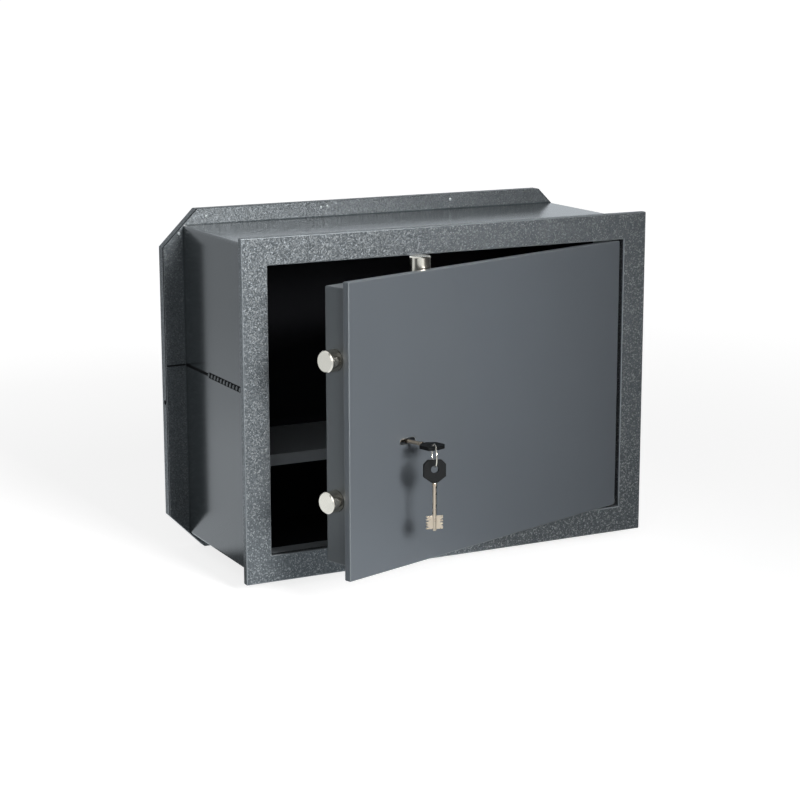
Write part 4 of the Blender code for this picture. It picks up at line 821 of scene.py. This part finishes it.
mixed = add(tree, "ShaderNodeMixShader", {},
            {0: rays["Is Glossy Ray"], 1: seen.outputs[0], 2: gloss.outputs[0]})
tree.links.new(mixed.outputs[0], tree.nodes["Material Output"].inputs["Surface"])
work = bmesh.new()
bmesh.ops.create_grid(work, x_segments=1, y_segments=1, size=30.0)
work.transform(Matrix.Translation((0.0, 0.0, FLOOR_Z)))
floor_mesh = bpy.data.meshes.new("floor")
work.to_mesh(floor_mesh)
work.free()
floor_mesh.materials.append(paper)
floor = bpy.data.objects.new("floor", floor_mesh)
bpy.context.scene.collection.objects.link(floor)


# Light: an even studio, white where the camera sees it, a soft lamp in front with a grid that keeps its light
# to the left part of the safe, and a wide one at the left.
SKY_LEVEL = 0.20
world = bpy.data.worlds.new("studio")
bpy.context.scene.world = world
world.use_nodes = True
tree = world.node_tree
sky = tree.nodes["Background"]
rays = add(tree, "ShaderNodeLightPath").outputs
tint = add(tree, "ShaderNodeMix", {"data_type": "RGBA", 6: (1.0, 1.0, 1.0, 1.0), 7: COOL_WHITE},
           {0: rays["Is Glossy Ray"]}).outputs[2]
tree.links.new(tint, sky.inputs["Color"])
place = add(tree, "ShaderNodeTexCoord").outputs["Generated"]
axes = add(tree, "ShaderNodeSeparateXYZ", {}, {0: place}).outputs
clear = add(tree, "ShaderNodeMath", {"operation": "MAXIMUM"},
            {0: rays["Is Camera Ray"], 1: rays["Is Transmission Ray"]})
level = add(tree, "ShaderNodeMapRange", {"To Min": SKY_LEVEL, "To Max": 1.0},
            {0: clear.outputs[0]}).outputs[0]
strength = add(tree, "ShaderNodeMix", {}, {0: rays["Is Glossy Ray"], 2: level,
                                           3: studio_round(tree, axes[0], axes[1])}).outputs[0]
tree.links.new(strength, sky.inputs["Strength"])


def lamp(name, azimuth, elevation, distance, size, spread, power, aim):
    """A soft square lamp with a grid, aimed at a point; azimuth counts to the right from the front."""
    light = bpy.data.lights.new(name, "AREA")
    light.size = size
    light.energy = power
    light.spread = spread
    holder = bpy.data.objects.new(name, light)
    bpy.context.scene.collection.objects.link(holder)
    way = Vector((math.sin(azimuth) * math.cos(elevation), -math.cos(azimuth) * math.cos(elevation),
                  math.sin(elevation)))
    holder.location = way * distance + Vector((0.0, FRAME_FACE, 0.0))
    holder.rotation_euler = (holder.location - Vector(aim)).to_track_quat("Z", "Y").to_euler()


lamp("front_lamp", azimuth=math.radians(5), elevation=math.radians(19), distance=2.4, size=0.75,
     spread=math.radians(36), power=4.9, aim=(-0.24, FRAME_FACE, 0.02))
lamp("left_fill", azimuth=math.radians(-35), elevation=math.radians(30), distance=2.2, size=1.5,
     spread=math.pi, power=8.0, aim=(0.0, FRAME_FACE, 0.0))


# Camera: where the photograph was taken from.
CAMERA_PLACE = (-1.0248, -2.0859, 0.4538)
CAMERA_DIP = math.radians(12.13)
CAMERA_ROLL = math.radians(0.10)
CAMERA_TURN = math.radians(-27.03)
LENS_MM = 93.03
camera = bpy.data.cameras.new("camera")
camera.lens = LENS_MM
camera.sensor_width = 36.0
holder = bpy.data.objects.new("camera", camera)
holder.location = CAMERA_PLACE
holder.rotation_euler = (math.pi / 2 - CAMERA_DIP, CAMERA_ROLL, CAMERA_TURN)
bpy.context.scene.collection.objects.link(holder)
bpy.context.scene.camera = holder
bpy.context.scene.view_settings.view_transform = "Standard"
